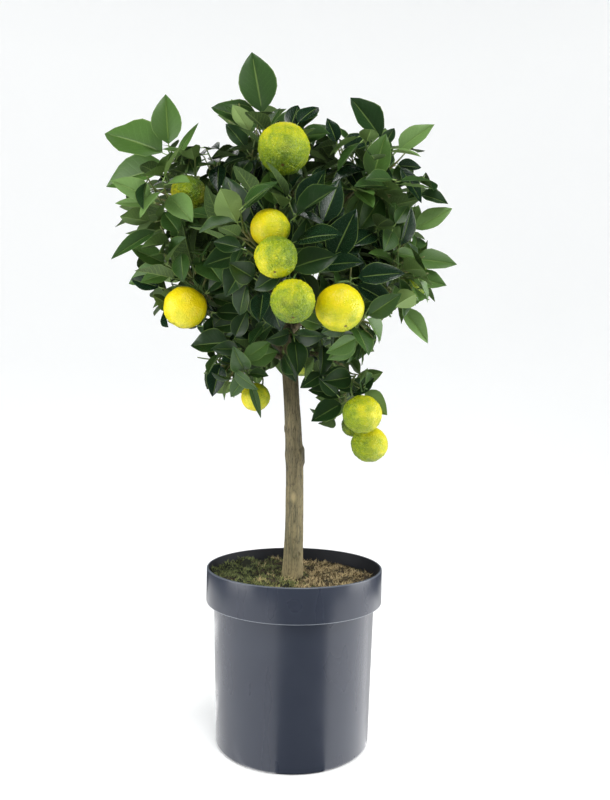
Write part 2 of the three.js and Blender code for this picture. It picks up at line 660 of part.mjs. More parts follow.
function growLeaves(mass, shoots, twigs, stations, random) {
  const grown = { leaves: [], twigLines: twigs.map((twig) => pointsAlong(twig.curve, 5)) };
  const reach = vec(mass.reach);
  const offer = (aim, inReach, rootRows) => {
    for (let trial = 0; trial < REAIMS; trial += 1) {
      const leaf = aim(trial);
      const tip = bladePoint(leaf, 1, 0).sub(vec(mass.centre)).divide(reach);
      if (inReach && tip.length() > LEAF_OVERREACH) continue;
      if (leafFits(leaf, mass, stations, grown, rootRows)) {
        grown.leaves.push(leaf);
        return;
      }
    }
  };
  for (const shoot of shoots) {
    shoot.fan.forEach((row, index) => {
      offer((trial) => fanLeaf(shoot, index, row, trial), false, FAN_ROOT_ROWS);
    });
  }
  for (let index = 0; index < WHORL_SHARES.length; index += 1) {
    for (const shoot of shoots) {
      shoot.phase ??= random() * 2 * Math.PI;
      const length = LEAF_LENGTH * lerp(LEAF_LENGTH_SPAN[0], LEAF_LENGTH_SPAN[1], random());
      if (index < 2 && shoot.fan.length) continue;
      offer((trial) => whorlLeaf(shoot, index, length, trial), true, WHORL_ROOT_ROWS);
    }
  }
  return grown.leaves;
}

// A fruit hangs on a stalk from the nearest point of the mass's twigs
function stalkCurve(fruit, mass, twigs, stations) {
  const middle = vec(fruit.centre);
  const toHeart = CROWN_HEART.clone().sub(middle).setZ(0).normalize();
  const knob = toHeart.multiplyScalar(STALK_TILT.inward).addScaledVector(UP, STALK_TILT.up).normalize();
  const socket = middle.clone().addScaledVector(knob, fruit.radius - STALK_SINK);
  const above = middle.clone().addScaledVector(knob, fruit.radius + STALK_RISE);
  const roots = twigs.flatMap((twig) => STALK_ROOTS.map((share) => twigPoint(twig, share)));
  roots.sort((a, b) => a.distanceTo(above) - b.distanceTo(above));
  const curves = roots.map((root) => new THREE.QuadraticBezierCurve3(root, above, socket));
  return curves.find((curve) => twigFits(curve, STALK_RADII[0], mass, stations, Infinity));
}

function growMass(mass, limbs, stations) {
  const random = seededStream(mass.seed);
  const stem = taperedBar(stemCurve(mass, limbs), STEM_RADII, TWIG_SIDES, STEM_RINGS);
  const shoots = growShoots(mass, stem, stations, random);
  const twigs = [stem, ...shoots];
  const fruits = FRUITS.filter((fruit) => fruit.mass === mass.name);
  const stalks = fruits.map((fruit) => {
    const curve = stalkCurve(fruit, mass, twigs, stations);
    return taperedBar(curve, STALK_RADII, TWIG_SIDES, STALK_RINGS);
  });
  const allTwigs = [...twigs, ...stalks];
  const leaves = growLeaves(mass, shoots, allTwigs, stations, random);
  return { twigs: allTwigs, leaves, fruits };
}

function fruitGeometry(fruit) {
  const geometry = new THREE.IcosahedronGeometry(fruit.radius, 1);
  geometry.scale(1, 1, FRUIT_FLATNESS);
  return geometry.translate(...fruit.centre);
}

function massSolid(grown) {
  const solids = [
    ...grown.twigs.map((twig) => toSolid(limbGeometry(twig))),
    ...grown.leaves.map((leaf) => toSolid(leafGeometry(leaf))),
    ...grown.fruits.map((fruit) => toSolid(fruitGeometry(fruit))),
  ];
  return largestBody(wasm.Manifold.union(solids)).asOriginal().simplify(MERGE_TOLERANCE);
}

// Assembly

function part(name, geometry, colour, roughness) {
  const material = new THREE.MeshStandardMaterial({ color: colour, roughness, metalness: 0 });
  const mesh = new THREE.Mesh(geometry, material);
  mesh.name = name;
  return mesh;
}

const tree = new THREE.Group();
tree.name = 'potted_sweet_lime_tree';
tree.add(part('pot', potGeometry(), COLOURS.pot, 0.4));
tree.add(part('soil', soilGeometry(), COLOURS.soil, 1));

// The moss is cut clear of the trunk, and each bough of the limbs made before it
const limbs = growLimbs();
let wood = toSolid(limbGeometry(limbs[0], CUT_GAP));
tree.add(part('moss', toGeometry(toSolid(mossGeometry()).subtract(wood)), COLOURS.moss, 1));
tree.add(part('trunk', limbGeometry(limbs[0]), COLOURS.bark, 0.9));
for (const limb of limbs.slice(1)) {
  const cut = largestBody(toSolid(limbGeometry(limb)).subtract(wood));
  tree.add(part(limb.name, toGeometry(cut), COLOURS.bark, 0.9));
  wood = wood.add(toSolid(limbGeometry(limb, CUT_GAP)));
}

const stations = limbStations(limbs);
for (const mass of MASSES) {
  const grown = growMass(mass, limbs, stations);
  tree.add(part(`foliage_${mass.name}`, toGeometry(massSolid(grown)), COLOURS.foliage, 0.5));
}

export default tree;
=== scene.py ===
# %% [markdown]
# A sweet lime tree, grown as a standard in a round nursery pot.
# The lesson dresses a plain model of it. Pot, soil, moss, trunk and boughs are modelled piece by
# piece, and the crown is grown by a rule, as a plant grows, instead of being drawn leaf by leaf.
# The plain model comes first, because it says how large everything is and where it stands.

# %% Load the plain model
import math

import bpy
import numpy as np
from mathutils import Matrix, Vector, noise


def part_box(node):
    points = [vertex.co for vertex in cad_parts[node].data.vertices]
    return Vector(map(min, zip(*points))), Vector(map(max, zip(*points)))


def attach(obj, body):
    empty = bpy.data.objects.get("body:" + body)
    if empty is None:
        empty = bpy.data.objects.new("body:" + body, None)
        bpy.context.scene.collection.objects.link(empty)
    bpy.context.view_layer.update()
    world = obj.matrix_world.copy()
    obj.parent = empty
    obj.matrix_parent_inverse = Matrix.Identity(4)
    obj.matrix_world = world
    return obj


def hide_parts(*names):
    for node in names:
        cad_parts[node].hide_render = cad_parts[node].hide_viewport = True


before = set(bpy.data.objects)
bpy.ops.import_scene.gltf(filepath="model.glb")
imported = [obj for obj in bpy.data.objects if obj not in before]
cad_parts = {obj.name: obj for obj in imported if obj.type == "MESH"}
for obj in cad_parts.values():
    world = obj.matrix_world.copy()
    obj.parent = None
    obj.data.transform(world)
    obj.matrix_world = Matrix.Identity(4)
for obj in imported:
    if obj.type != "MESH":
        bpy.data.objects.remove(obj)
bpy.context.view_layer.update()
pot_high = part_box("pot")[1]
soil_low, soil_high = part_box("soil")
moss_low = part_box("moss")[0]
mass_nodes = sorted(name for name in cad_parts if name.startswith("foliage_"))
bough_nodes = sorted(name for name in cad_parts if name.startswith("bough_"))
print("plain model:", len(mass_nodes), "masses of foliage on", len(bough_nodes), "boughs")

# %% [markdown]
# The photograph was taken from a little above the rim of the pot, with the camera level.
# The camera could be placed by eye. Here it is worked out from the pot: its rim and its foot
# show as two ellipses, and how flat each one is gives the height and the distance of the lens.

# %% Camera
PICTURE_HEIGHT = 800
FOCAL_LENGTH_IN_PIXELS = 720
SENSOR_HEIGHT = 36
EYE = (0.0094, -0.870, 0.407)
ROLL = 0.0163

bpy.ops.object.camera_add(location=EYE, rotation=(math.pi / 2, -ROLL, 0))
camera = bpy.context.object
camera.data.sensor_fit = "VERTICAL"
camera.data.sensor_height = SENSOR_HEIGHT
camera.data.lens = SENSOR_HEIGHT * FOCAL_LENGTH_IN_PIXELS / PICTURE_HEIGHT
bpy.context.scene.camera = camera
print("lens", round(camera.data.lens, 2), "mm on a sensor", SENSOR_HEIGHT, "mm high")

# %% [markdown]
# A studio has a pale floor that sweeps up into its walls, so that no horizon shows.
# A flat plane would need a second one behind it, and their corner would show from the side.
# A disc whose edge is raised ring by ring gives the same soft sweep from every side.

# %% Floor
STUDIO_SIDES = 96
STUDIO_RADIUS = 1.5
SWEEP_RADIUS = 2.6
SWEEP_RINGS = 24
WALL_TOP = 3.6


def start_modelling():
    """Ends any edit, and leaves nothing selected."""
    if bpy.context.object and bpy.context.object.mode != "OBJECT":
        bpy.ops.object.mode_set(mode="OBJECT")
    bpy.ops.object.select_all(action="DESELECT")


def take(*pieces):
    """Selects these pieces alone, and makes the first one active."""
    start_modelling()
    for piece in pieces:
        piece.select_set(True)
    bpy.context.view_layer.objects.active = pieces[0]


def raise_disc(sides, outline):
    """Models a turned shape: a disc at the first radius and height, pulled up through the others."""
    start_modelling()
    radius, height = outline[0]
    place = (0, 0, height)
    bpy.ops.mesh.primitive_circle_add(vertices=sides, radius=radius, fill_type="NGON", location=place)
    turned = bpy.context.object
    bpy.ops.object.transform_apply(location=True, rotation=False, scale=False)
    bpy.ops.object.mode_set(mode="EDIT")
    bpy.ops.mesh.select_all(action="SELECT")
    for next_radius, next_height in outline[1:]:
        lift = (0, 0, next_height - height)
        bpy.ops.mesh.extrude_region_move(TRANSFORM_OT_translate={"value": lift})
        share = next_radius / radius
        bpy.ops.transform.resize(value=(share, share, 1), center_override=(0, 0, next_height))
        radius, height = next_radius, next_height
    bpy.ops.object.mode_set(mode="OBJECT")
    return turned


quarter = [math.pi / 2 * step / SWEEP_RINGS for step in range(1, SWEEP_RINGS + 1)]
sweep = [(STUDIO_RADIUS + SWEEP_RADIUS * math.sin(a), SWEEP_RADIUS * (1 - math.cos(a))) for a in quarter]
floor = raise_disc(STUDIO_SIDES, [(STUDIO_RADIUS, 0), *sweep, (STUDIO_RADIUS + SWEEP_RADIUS, WALL_TOP)])
floor.name = "studio_floor"
bpy.ops.object.mode_set(mode="EDIT")
bpy.ops.mesh.delete(type="ONLY_FACE")
bpy.ops.mesh.select_all(action="SELECT")
bpy.ops.mesh.flip_normals()
bpy.ops.object.mode_set(mode="OBJECT")
bpy.ops.object.shade_smooth()
print("studio:", len(floor.data.polygons), "faces")

# %% [markdown]
# Broad lamps light it. The largest hangs high and a little to the right, as the light does in the
# picture, and gives the leaves and fruits their shine. The world opens the shadows with an even
# light. It and the studio's pale walls would lay a grey veil on everything glossy, so both are kept
# out of reflections, and the darks stay deep. The glossy pot then needs something to mirror, so four
# cards lie round it on the floor: lamps that show in reflections alone, and draw its upright bands.

# %% Lights
LAMPS = [
    {"name": "key", "place": (0.45, -1.25, 2.25), "aim": (0, 0, 0.5), "size": (0.9, 0.7), "power": 30},
    {"name": "back", "place": (-0.4, 1.6, 2.1), "aim": (0, 0, 0.5), "size": (1.2, 1.0), "power": 7},
    {"name": "left", "place": (-1.3, -0.5, 0.45), "aim": (0, 0, 0.4), "size": (0.9, 0.9), "power": 13},
    {"name": "right", "place": (1.35, 0, 0.45), "aim": (0, 0, 0.4), "size": (0.9, 0.9), "power": 17},
]
CARDS = [
    {"name": "left", "place": (-0.504, -0.383, 0.001), "turn": 249, "size": (0.9, 0.7), "power": 3.1},
    {"name": "left_back", "place": (-0.345, 0.305, 0.001), "turn": 158.8, "size": (0.9, 0.5), "power": 2.0},
    {"name": "right", "place": (0.607, -0.088, 0.001), "turn": -38.5, "size": (0.9, 0.7), "power": 4.6},
    {"name": "right_back", "place": (0.124, 0.424, 0.001), "turn": 51.5, "size": (0.9, 0.5), "power": 1.6},
]
WORLD_COLOUR = (0.93, 0.96, 1.0, 1.0)
WORLD_STRENGTH = 0.66


def add_light(kind, row, turn):
    """A broad light as its row says, which the camera doesn't see."""
    bpy.ops.object.light_add(type="AREA", location=row["place"], rotation=turn)
    light = bpy.context.object
    light.name = kind + "_" + row["name"]
    light.data.shape = "RECTANGLE"
    light.data.size, light.data.size_y = row["size"]
    light.data.energy = row["power"]
    light.visible_camera = False
    return light


for lamp in LAMPS:
    sight = Vector(lamp["aim"]) - Vector(lamp["place"])
    add_light("lamp", lamp, sight.to_track_quat("-Z", "Y").to_euler())
for card in CARDS:
    lying = add_light("card", card, (math.pi, 0, math.radians(card["turn"])))
    lying.visible_diffuse = False

world = bpy.data.worlds.new("studio_air")
world.use_nodes = True
world.node_tree.nodes["Background"].inputs["Color"].default_value = WORLD_COLOUR
world.node_tree.nodes["Background"].inputs["Strength"].default_value = WORLD_STRENGTH
bpy.context.scene.world = world
world.cycles_visibility.glossy = False
floor.visible_glossy = False
bpy.context.scene.view_settings.view_transform = "Standard"
print("lights:", [row["name"] for row in LAMPS + CARDS])

# %% [markdown]
# Every finish below is a recipe of nodes. Nodes could be wired by hand one at a time, but a
# pattern is easier to read as a sum. So a wire is wrapped in a small class on which + - * / work,
# and each operation adds the node that does it. Any other node comes from one method.


# %% Recipes for finishes
class Wire:
    """One socket of a finish, on which arithmetic works."""

    def __init__(self, finish, socket):
        self.finish = finish
        self.socket = socket

    def calculate(self, operation, *values):
        return self.finish.node("ShaderNodeMath", {"operation": operation}, values)

    def __add__(self, other):
        return self.calculate("ADD", self, other)

    def __sub__(self, other):
        return self.calculate("SUBTRACT", self, other)

    def __rsub__(self, other):
        return self.calculate("SUBTRACT", other, self)

    def __mul__(self, other):
        return self.calculate("MULTIPLY", self, other)

    def __truediv__(self, other):
        return self.calculate("DIVIDE", self, other)

    __radd__ = __add__
    __rmul__ = __mul__

    def size(self):
        return self.calculate("ABSOLUTE", self)

    def fade(self, low, high):
        """0 below low, 1 above high, and a soft slope between them."""
        settings = {"interpolation_type": "SMOOTHSTEP"}
        return self.finish.node("ShaderNodeMapRange", settings, {0: self, 1: low, 2: high})


class Finish:
    """A material that is being put together round its Principled shader."""

    def __init__(self, name, roughness, plain=None):
        self.material = bpy.data.materials.new(name)
        self.material.use_nodes = True
        self.nodes = self.material.node_tree.nodes
        self.shader = self.nodes["Principled BSDF"]
        self.feed("Roughness", roughness)
        for socket, value in (plain or {}).items():
            self.feed(socket, value)

    def node(self, kind, settings, sockets, output=0):
        """Adds a node: its settings first, then the values or wires of its sockets."""
        made = self.nodes.new(kind)
        for name, value in settings.items():
            if name == "stops":
                self.set_stops(made.color_ramp, value)
            else:
                setattr(made, name, value)
        pairs = sockets.items() if isinstance(sockets, dict) else enumerate(sockets)
        for key, value in pairs:
            self.join(made.inputs[key], value)
        return Wire(self, made.outputs[output])

    def set_stops(self, ramp, stops):
        while len(ramp.elements) < len(stops):
            ramp.elements.new(0.5)
        for element, (place, colour) in zip(ramp.elements, stops):
            element.position = place
            element.color = colour

    def join(self, socket, value):
        if isinstance(value, Wire):
            self.material.node_tree.links.new(value.socket, socket)
        else:
            socket.default_value = value

    def feed(self, name, value):
        self.join(self.shader.inputs[name], value)

    def paint(self, *pieces):
        for piece in pieces:
            piece.data.materials.append(self.material)

    def mix(self, factor, first, second):
        """Two colours, blended by a factor from 0, the first, to 1, the second."""
        sockets = {0: factor, 6: first, 7: second}
        return self.node("ShaderNodeMix", {"data_type": "RGBA"}, sockets, output=2)

    def kept(self, name):
        """A number that the points of a piece keep under a name."""
        return self.node("ShaderNodeAttribute", {"attribute_name": name}, (), output=2)

    def places(self, stretch=(1, 1, 1)):
        """Where each point of the piece lies, stretched along X, Y and Z."""
        spot = self.node("ShaderNodeTexCoord", {}, (), output=3)
        return self.node("ShaderNodeMapping", {}, {"Vector": spot, "Scale": stretch})

    def clouds(self, where, scale, detail=3.0, roughness=0.5):
        """Soft noise from 0 to 1, at a number of cells to the metre."""
        sockets = {"Vector": where, "Scale": scale, "Detail": detail, "Roughness": roughness}
        return self.node("ShaderNodeTexNoise", {}, sockets)

    def bumps(self, height, depth):
        """Raises the surface by a height from 0 to 1 times a depth in metres."""
        self.feed("Normal", self.node("ShaderNodeBump", {}, {"Distance": depth, "Height": height}))


def colour(red, green, blue):
    """A colour as a screen shows it, from 0 to 255, in the linear scale that shaders use."""
    parts = [part / 255 for part in (red, green, blue)]
    linear = [part / 12.92 if part < 0.04045 else ((part + 0.055) / 1.055) ** 2.4 for part in parts]
    return (*linear, 1.0)


STUDIO_WHITE = colour(247, 247, 246)
STUDIO_GLOW = 0.12

studio = Finish("studio_paint", roughness=0.9)
studio.feed("Base Color", STUDIO_WHITE)
studio.feed("Emission Color", STUDIO_WHITE)
studio.feed("Emission Strength", STUDIO_GLOW)
studio.paint(floor)
print("floor painted")

# %% [markdown]
# The pot is a thin turned wall of slate blue-grey plastic, with a wide collar to grip it by.
# It could be spun from its outline. Raising it from a disc, ring by ring, keeps each ring at a
# named size: up the outside, over the rim and down again inside. A bevel then rounds the edges.
# Each point keeps two numbers for the finish: whether it is inside, which is painted with shade,
# and how much painted highlight its outer edge gets.

# %% Pot
POT_SIDES = 128
POT_WALL = 0.003
COLLAR_HEIGHT = 0.040
COLLAR_STEP = 0.0012
SHOULDER_DROP = 3 * COLLAR_STEP
BODY_TOP_RADIUS = 0.097
BODY_FOOT_RADIUS = 0.091
FOOT_ROUND = 0.004
FOOT_ROUND_STEPS = 4
EDGE_ROUND = 0.0012
EDGE_ROUND_STEPS = 4
EDGE_BAND = EDGE_ROUND * 0.9
RIM_HIGHLIGHT = 0.5
SHARP_ANGLE = math.radians(24)


def round_edges(piece, width, steps):
    """Bevels every sharp edge of a piece."""
    bevel = piece.modifiers.new("round", "BEVEL")
    bevel.width = width
    bevel.segments = steps
    bevel.limit_method = "ANGLE"
    bevel.angle_limit = SHARP_ANGLE
    bpy.context.view_layer.objects.active = piece
    bpy.ops.object.modifier_apply(modifier=bevel.name)


def keep_values(piece, name, values):
    """Keeps a number under a name at each point of a piece, for its finish to read."""
    piece.data.attributes.new(name, "FLOAT", "POINT").data.foreach_set("value", values)


rim_radius = pot_high.x
rim_height = pot_high.z
collar_foot = rim_height - COLLAR_HEIGHT
inner_rim = rim_radius - POT_WALL
foot_arc = [math.pi / 2 * step / FOOT_ROUND_STEPS for step in range(FOOT_ROUND_STEPS + 1)]
pot_foot = [
    (BODY_FOOT_RADIUS - FOOT_ROUND * (1 - math.sin(a)), FOOT_ROUND * (1 - math.cos(a))) for a in foot_arc
]
pot_outline = [
    *pot_foot,
    (BODY_TOP_RADIUS - COLLAR_STEP, collar_foot - SHOULDER_DROP),
    (BODY_TOP_RADIUS, collar_foot),
    (rim_radius, collar_foot),
    (rim_radius, rim_height),
    (inner_rim, rim_height),
    (inner_rim, collar_foot + POT_WALL),
    (BODY_TOP_RADIUS - POT_WALL, collar_foot),
    (BODY_FOOT_RADIUS - POT_WALL, POT_WALL),
]
pot = raise_disc(POT_SIDES, pot_outline)
pot.name = "pot_wall"
round_edges(pot, EDGE_ROUND, EDGE_ROUND_STEPS)
bpy.ops.object.shade_smooth_by_angle(angle=SHARP_ANGLE)
insides, edges = [], []
for vertex in pot.data.vertices:
    away = math.hypot(vertex.co.x, vertex.co.y)
    insides.append(float(vertex.co.z > collar_foot and away < inner_rim + EDGE_ROUND / 2))
    at_foot = away > BODY_TOP_RADIUS + EDGE_ROUND and vertex.co.z < collar_foot + EDGE_BAND
    at_rim = away > inner_rim + EDGE_ROUND and vertex.co.z > rim_height - EDGE_BAND
    edges.append(1.0 if at_foot else RIM_HIGHLIGHT * at_rim)
keep_values(pot, "inside", insides)
keep_values(pot, "edge", edges)
print("pot:", len(pot.data.polygons), "faces")

# %% [markdown]
# The plastic has a soft shine, so the cards show on it as soft upright bands. Moulding leaves very
# faint upright streaks, and handling dulls it in patches. Its outer edges are painted pale, as a
# painted highlight, and its inside wall is painted dark, as a painted shade. Streaks and patches go
# into the roughness, and hardly into the colour, because a shiny skin tells them apart by their
# shine. The streaks are one noise, stretched upright by scaling Z down.

# %% Pot finish
SLATE = colour(45, 50, 62)
SLATE_DUSTY = colour(54, 59, 70)
SLATE_PAINTED_SHADE = colour(30, 32, 38)
SLATE_PAINTED_HIGHLIGHT = colour(128, 134, 142)

plastic = Finish("slate_plastic", roughness=0.3, plain={"Specular IOR Level": 0.4})
streaks = plastic.clouds(plastic.places((1, 1, 0.03)), scale=90, detail=0)
patches = plastic.clouds(plastic.places(), scale=14, detail=4)
inside = plastic.kept("inside")
edge_highlight = plastic.kept("edge")
slate = plastic.mix(patches.fade(0.45, 0.85) * 0.5, SLATE, SLATE_DUSTY)
# Painted highlight: the outer edges of the collar's foot and of the rim are painted pale.
slate = plastic.mix(edge_highlight * 0.8, slate, SLATE_PAINTED_HIGHLIGHT)
# Painted shade: the inside wall is painted darker than the outside, as the shade inside the pot.
plastic.feed("Base Color", plastic.mix(inside, slate, SLATE_PAINTED_SHADE))
plastic.feed("Roughness", 0.22 + 0.05 * streaks + 0.08 * patches + 0.4 * inside)
plastic.paint(pot)
print("pot finish:", len(plastic.nodes), "nodes")

# %% [markdown]
# Dark potting soil fills the pot to two centimetres below its rim, and shows only where the moss
# is thin. It could be one lumpy disc. Here it is the whole root ball, so that the piece is closed,
# with rings inset on its top for the lumps, which a noise then lifts.

# %% Soil
SOIL_SIDES = 96
SOIL_GAP = 0.0006
SOIL_RINGS = 24
SOIL_LUMPS = 0.0012
SOIL_LUMPS_PER_METRE = 140


def inset_rings(piece, radius, rings):
    """Insets the face that raise_disc left selected, ring by ring, nearly to its middle."""
    bpy.ops.object.mode_set(mode="EDIT")
    for _ in range(rings):
        bpy.ops.mesh.inset(thickness=radius / (rings + 1), use_even_offset=False)
    bpy.ops.object.mode_set(mode="OBJECT")


def move_points(piece, move):
    """Passes each point of a piece to a function that returns its new place."""
    for vertex in piece.data.vertices:
        vertex.co = move(vertex.co)
    piece.data.update()


soil_radius = inner_rim - SOIL_GAP
soil_outline = [
    (BODY_FOOT_RADIUS - POT_WALL - SOIL_GAP, soil_low.z),
    (BODY_TOP_RADIUS - POT_WALL - SOIL_GAP, collar_foot),
    (soil_radius, collar_foot + POT_WALL + SOIL_GAP),
    (soil_radius, soil_high.z),
]
soil = raise_disc(SOIL_SIDES, soil_outline)
soil.name = "root_ball"
inset_rings(soil, soil_radius, SOIL_RINGS)


def lift_lumps(spot):
    if spot.z < soil_high.z - SOIL_GAP:
        return spot
    return spot + Vector((0, 0, SOIL_LUMPS * noise.fractal(spot * SOIL_LUMPS_PER_METRE, 1, 2, 4)))


move_points(soil, lift_lumps)
bpy.ops.object.shade_smooth()

earth = Finish("potting_soil", roughness=0.95)
crumbs = earth.clouds(earth.places(), scale=420, detail=5, roughness=0.65)
earth.feed("Base Color", earth.mix(crumbs.fade(0.4, 0.62), colour(34, 27, 20), colour(78, 64, 48)))
earth.bumps(crumbs, depth=0.0012)
earth.paint(soil)
print("soil:", len(soil.data.polygons), "faces")

# %% [markdown]
# Moss covers the soil, green and mounded on the left, thin and dried to tan on the right.
# It could be a hair system, but hair isn't a mesh. So there is a low carpet with the moss's own
# mounds, and on it thousands of small bent spikes, dealt out in five plain colours by place.

# %% Moss carpet
MOSS_RINGS = 40
MOSS_HEIGHT = 0.005
MOSS_THINNEST = 0.0004
MOSS_LEFT_RISE = 0.0045
MOSS_LEFT_FROM = 0.040
MOSS_LEFT_OVER = 0.130
MOSS_EDGE_DIP = 0.0042
MOSS_EDGE_FROM = 0.062
MOSS_EDGE_OVER = 0.036
MOSS_DIP_SLOPE = (0.6, 6, 4)
MOSS_WAVE = 0.0012
WAVES_RIGHTWARDS = (110, 1.3)
WAVES_BACKWARDS = (130, -0.4)
FINER_WAVES = (0.6, 230, 190)
MOSS_FLUFF = 0.0048
MOSS_FLUFF_PER_METRE = 58
MOSS_FLUFF_SHARES = (0.5, 0.8)


def ramp(value, start, over):
    """0 up to start, 1 from a distance past it on, and a straight slope between."""
    return np.clip((value - start) / over, 0, 1)


def slope(level, x, y):
    """A share from 0 to 1 that grows along X and Y from its value in the middle."""
    return np.clip(level[0] + level[1] * x + level[2] * y, 0, 1)


def moss_height(x, y):
    """How high the carpet stands over the soil at a place."""
    leftness = ramp(-x, -MOSS_LEFT_FROM, MOSS_LEFT_OVER)
    leftness = leftness * leftness * (3 - 2 * leftness)
    edge = ramp(math.hypot(x, y), MOSS_EDGE_FROM, MOSS_EDGE_OVER) ** 2
    dip = MOSS_EDGE_DIP * edge * slope(MOSS_DIP_SLOPE, x, y)
    waves = math.sin(x * WAVES_RIGHTWARDS[0] + WAVES_RIGHTWARDS[1])
    waves *= math.cos(y * WAVES_BACKWARDS[0] + WAVES_BACKWARDS[1])
    waves += FINER_WAVES[0] * math.sin(x * FINER_WAVES[1] - y * FINER_WAVES[2])
    fluff = noise.fractal(Vector((x, y, 0)) * MOSS_FLUFF_PER_METRE, 1, 2, 3)
    fluff_share = MOSS_FLUFF_SHARES[0] + MOSS_FLUFF_SHARES[1] * leftness
    mounds = MOSS_WAVE * waves + MOSS_FLUFF * fluff * fluff_share
    return max(MOSS_THINNEST, MOSS_HEIGHT + MOSS_LEFT_RISE * leftness - dip + mounds)


carpet = raise_disc(SOIL_SIDES, [(soil_radius, moss_low.z), (soil_radius, moss_low.z + MOSS_HEIGHT / 2)])
carpet.name = "moss_carpet"
inset_rings(carpet, soil_radius, MOSS_RINGS)


def lift_moss(spot):
    at_wall = Vector((spot.x, spot.y)).length > inner_rim - 2 * SOIL_GAP
    if at_wall or spot.z < moss_low.z + MOSS_HEIGHT / 4:
        return spot
    return Vector((spot.x, spot.y, moss_low.z + moss_height(spot.x, spot.y)))


move_points(carpet, lift_moss)
bpy.ops.object.shade_smooth()

felt = Finish("moss_felt", roughness=0.95)
strands = felt.clouds(felt.places(), scale=900, detail=4, roughness=0.7)
dry_right = felt.clouds(felt.places(), scale=26, detail=2)
felt.feed("Base Color", felt.mix(dry_right.fade(0.4, 0.6), colour(30, 34, 18), colour(66, 56, 38)))
felt.bumps(strands, depth=0.0015)
felt.paint(carpet)
print("carpet:", len(carpet.data.polygons), "faces")

# %% [markdown]
# The spikes stand in clumps, as dense as chance and a noise make them, and leave the foot of the
# trunk and a strip along the pot's dry side bare. They could be dealt out one by one. There are
# thousands, so their roots are worked out all at once as arrays. One seeded source of chance gives
# the same moss every time.

# %% Where the spikes stand
MOSS_SEED = 5
MOSS_SPIKES = 15000
MOSS_TO_WALL = 0.002
CLUMPS_PER_METRE = 60
CLUMP_LAYER = 0.2
BARE_FROM = 0.078
BARE_OVER = 0.018
BARE_SLOPE = (0.5, 8, 5)
BARE_BELOW = -0.42
TRUNK_ROOT = (-0.0026, 0)
TRUNK_CLEAR = 0.0125
SPIKE_SINK = 0.0008

chance = np.random.default_rng(MOSS_SEED)
away = (inner_rim - MOSS_TO_WALL) * np.sqrt(chance.random(MOSS_SPIKES))
round_it = chance.random(MOSS_SPIKES) * 2 * math.pi
spike_x = away * np.cos(round_it)
spike_y = away * np.sin(round_it)
clump = [noise.noise(Vector((x, y, CLUMP_LAYER)) * CLUMPS_PER_METRE) for x, y in zip(spike_x, spike_y)]
clump = np.array(clump)
bare = ramp(away, BARE_FROM, BARE_OVER) * slope(BARE_SLOPE, spike_x, spike_y)
keep = np.hypot(spike_x - TRUNK_ROOT[0], spike_y - TRUNK_ROOT[1]) > TRUNK_CLEAR
keep &= clump - bare > BARE_BELOW
spike_x, spike_y, clump = spike_x[keep], spike_y[keep], clump[keep]
spike_z = np.array([moss_low.z + moss_height(x, y) for x, y in zip(spike_x, spike_y)])
roots = np.stack([spike_x, spike_y, spike_z - SPIKE_SINK], 1)
count = len(roots)
print("moss:", count, "roots of", MOSS_SPIKES)

# %% [markdown]
# Each spike is a bent needle: a three-sided root, a knee and a tip. Needles could be curves, as
# the twigs are. Seven faces do for one as small as this, and arrays bend all of them at once.

# %% Moss spikes
SPIKE_LENGTH = (0.0026, 0.0074)
SPIKE_GROWTH = (0.75, 0.6, 0.3)
SPIKE_RADIUS = 0.00036
SPIKE_SPREAD = 0.9
SPIKE_LIFT = 0.75
SPIKE_KNEE = 0.55
SPIKE_KNEE_WIDTH = 0.8
SPIKE_CURL = 0.8
SPIKE_END = 0.5


def unit(vectors):
    """The same vectors, each of length 1."""
    return vectors / np.maximum(np.linalg.norm(vectors, axis=-1, keepdims=True), 1e-12)


sideways = chance.normal(0, SPIKE_SPREAD, (count, 2))
lean = unit(np.concatenate([sideways, np.full((count, 1), SPIKE_LIFT)], 1))
curl = unit(chance.normal(0, 1, (count, 3)))
growth = SPIKE_GROWTH[0] + SPIKE_GROWTH[1] * np.clip(clump + SPIKE_GROWTH[2], 0, 1)
size = chance.uniform(*SPIKE_LENGTH, count) * growth
middles = roots + lean * size[:, None] * SPIKE_KNEE
tips = middles + unit(lean + SPIKE_CURL * curl) * size[:, None] * SPIKE_END
tips[:, 2] = np.maximum(tips[:, 2], roots[:, 2])
side = unit(np.cross(lean, curl))
other = np.cross(lean, side)
rings = []
for spot, radius in ((roots, SPIKE_RADIUS), (middles, SPIKE_RADIUS * SPIKE_KNEE_WIDTH)):
    for turn in range(3):
        angle = 2 * math.pi * turn / 3
        rings.append(spot + radius * (side * math.cos(angle) + other * math.sin(angle)))
spike_points = np.stack([*rings, tips], 1)
print("moss:", spike_points.shape[1], "points for each spike")

# %% [markdown]
# Where the moss is green and where it is dry goes by place and by clump, and chance scatters the
# border. How high its mound is picks the lighter or darker colour of each spike: partly the moss's
# own colour, partly painted shade, dark in the hollows. A finish could draw that on all of it. A
# plain colour for each spike is enough, since they are so small, and one piece can hold all five.

# %% Colours of the moss
SPIKE_FACES = [(0, 1, 4, 3), (1, 2, 5, 4), (2, 0, 3, 5), (3, 4, 6), (4, 5, 6), (5, 3, 6), (0, 2, 1)]
DRY_LEVEL = 0.42
DRY_RIGHTWARDS = 11
DRY_IN_CLUMPS = 0.9
DRY_SCATTER = 0.16
FRONT_TUFT = (-0.01, 0.045, 12)
GREEN_SHARES = (0.24, 0.3, 0.5, 0.4)
LIGHT_SHARE = 0.75
TAN_SHARES = (0.52, 0.5, 0.4)
GREEN, DARK, TAN, BROWN, LIGHT = range(5)
MOSS_COLOURS = {
    "moss_green": colour(114, 124, 72),
    "moss_dark": colour(25, 31, 21),
    "moss_tan": colour(196, 176, 130),
    "moss_brown": colour(84, 70, 46),
    "moss_light": colour(162, 162, 96),
}


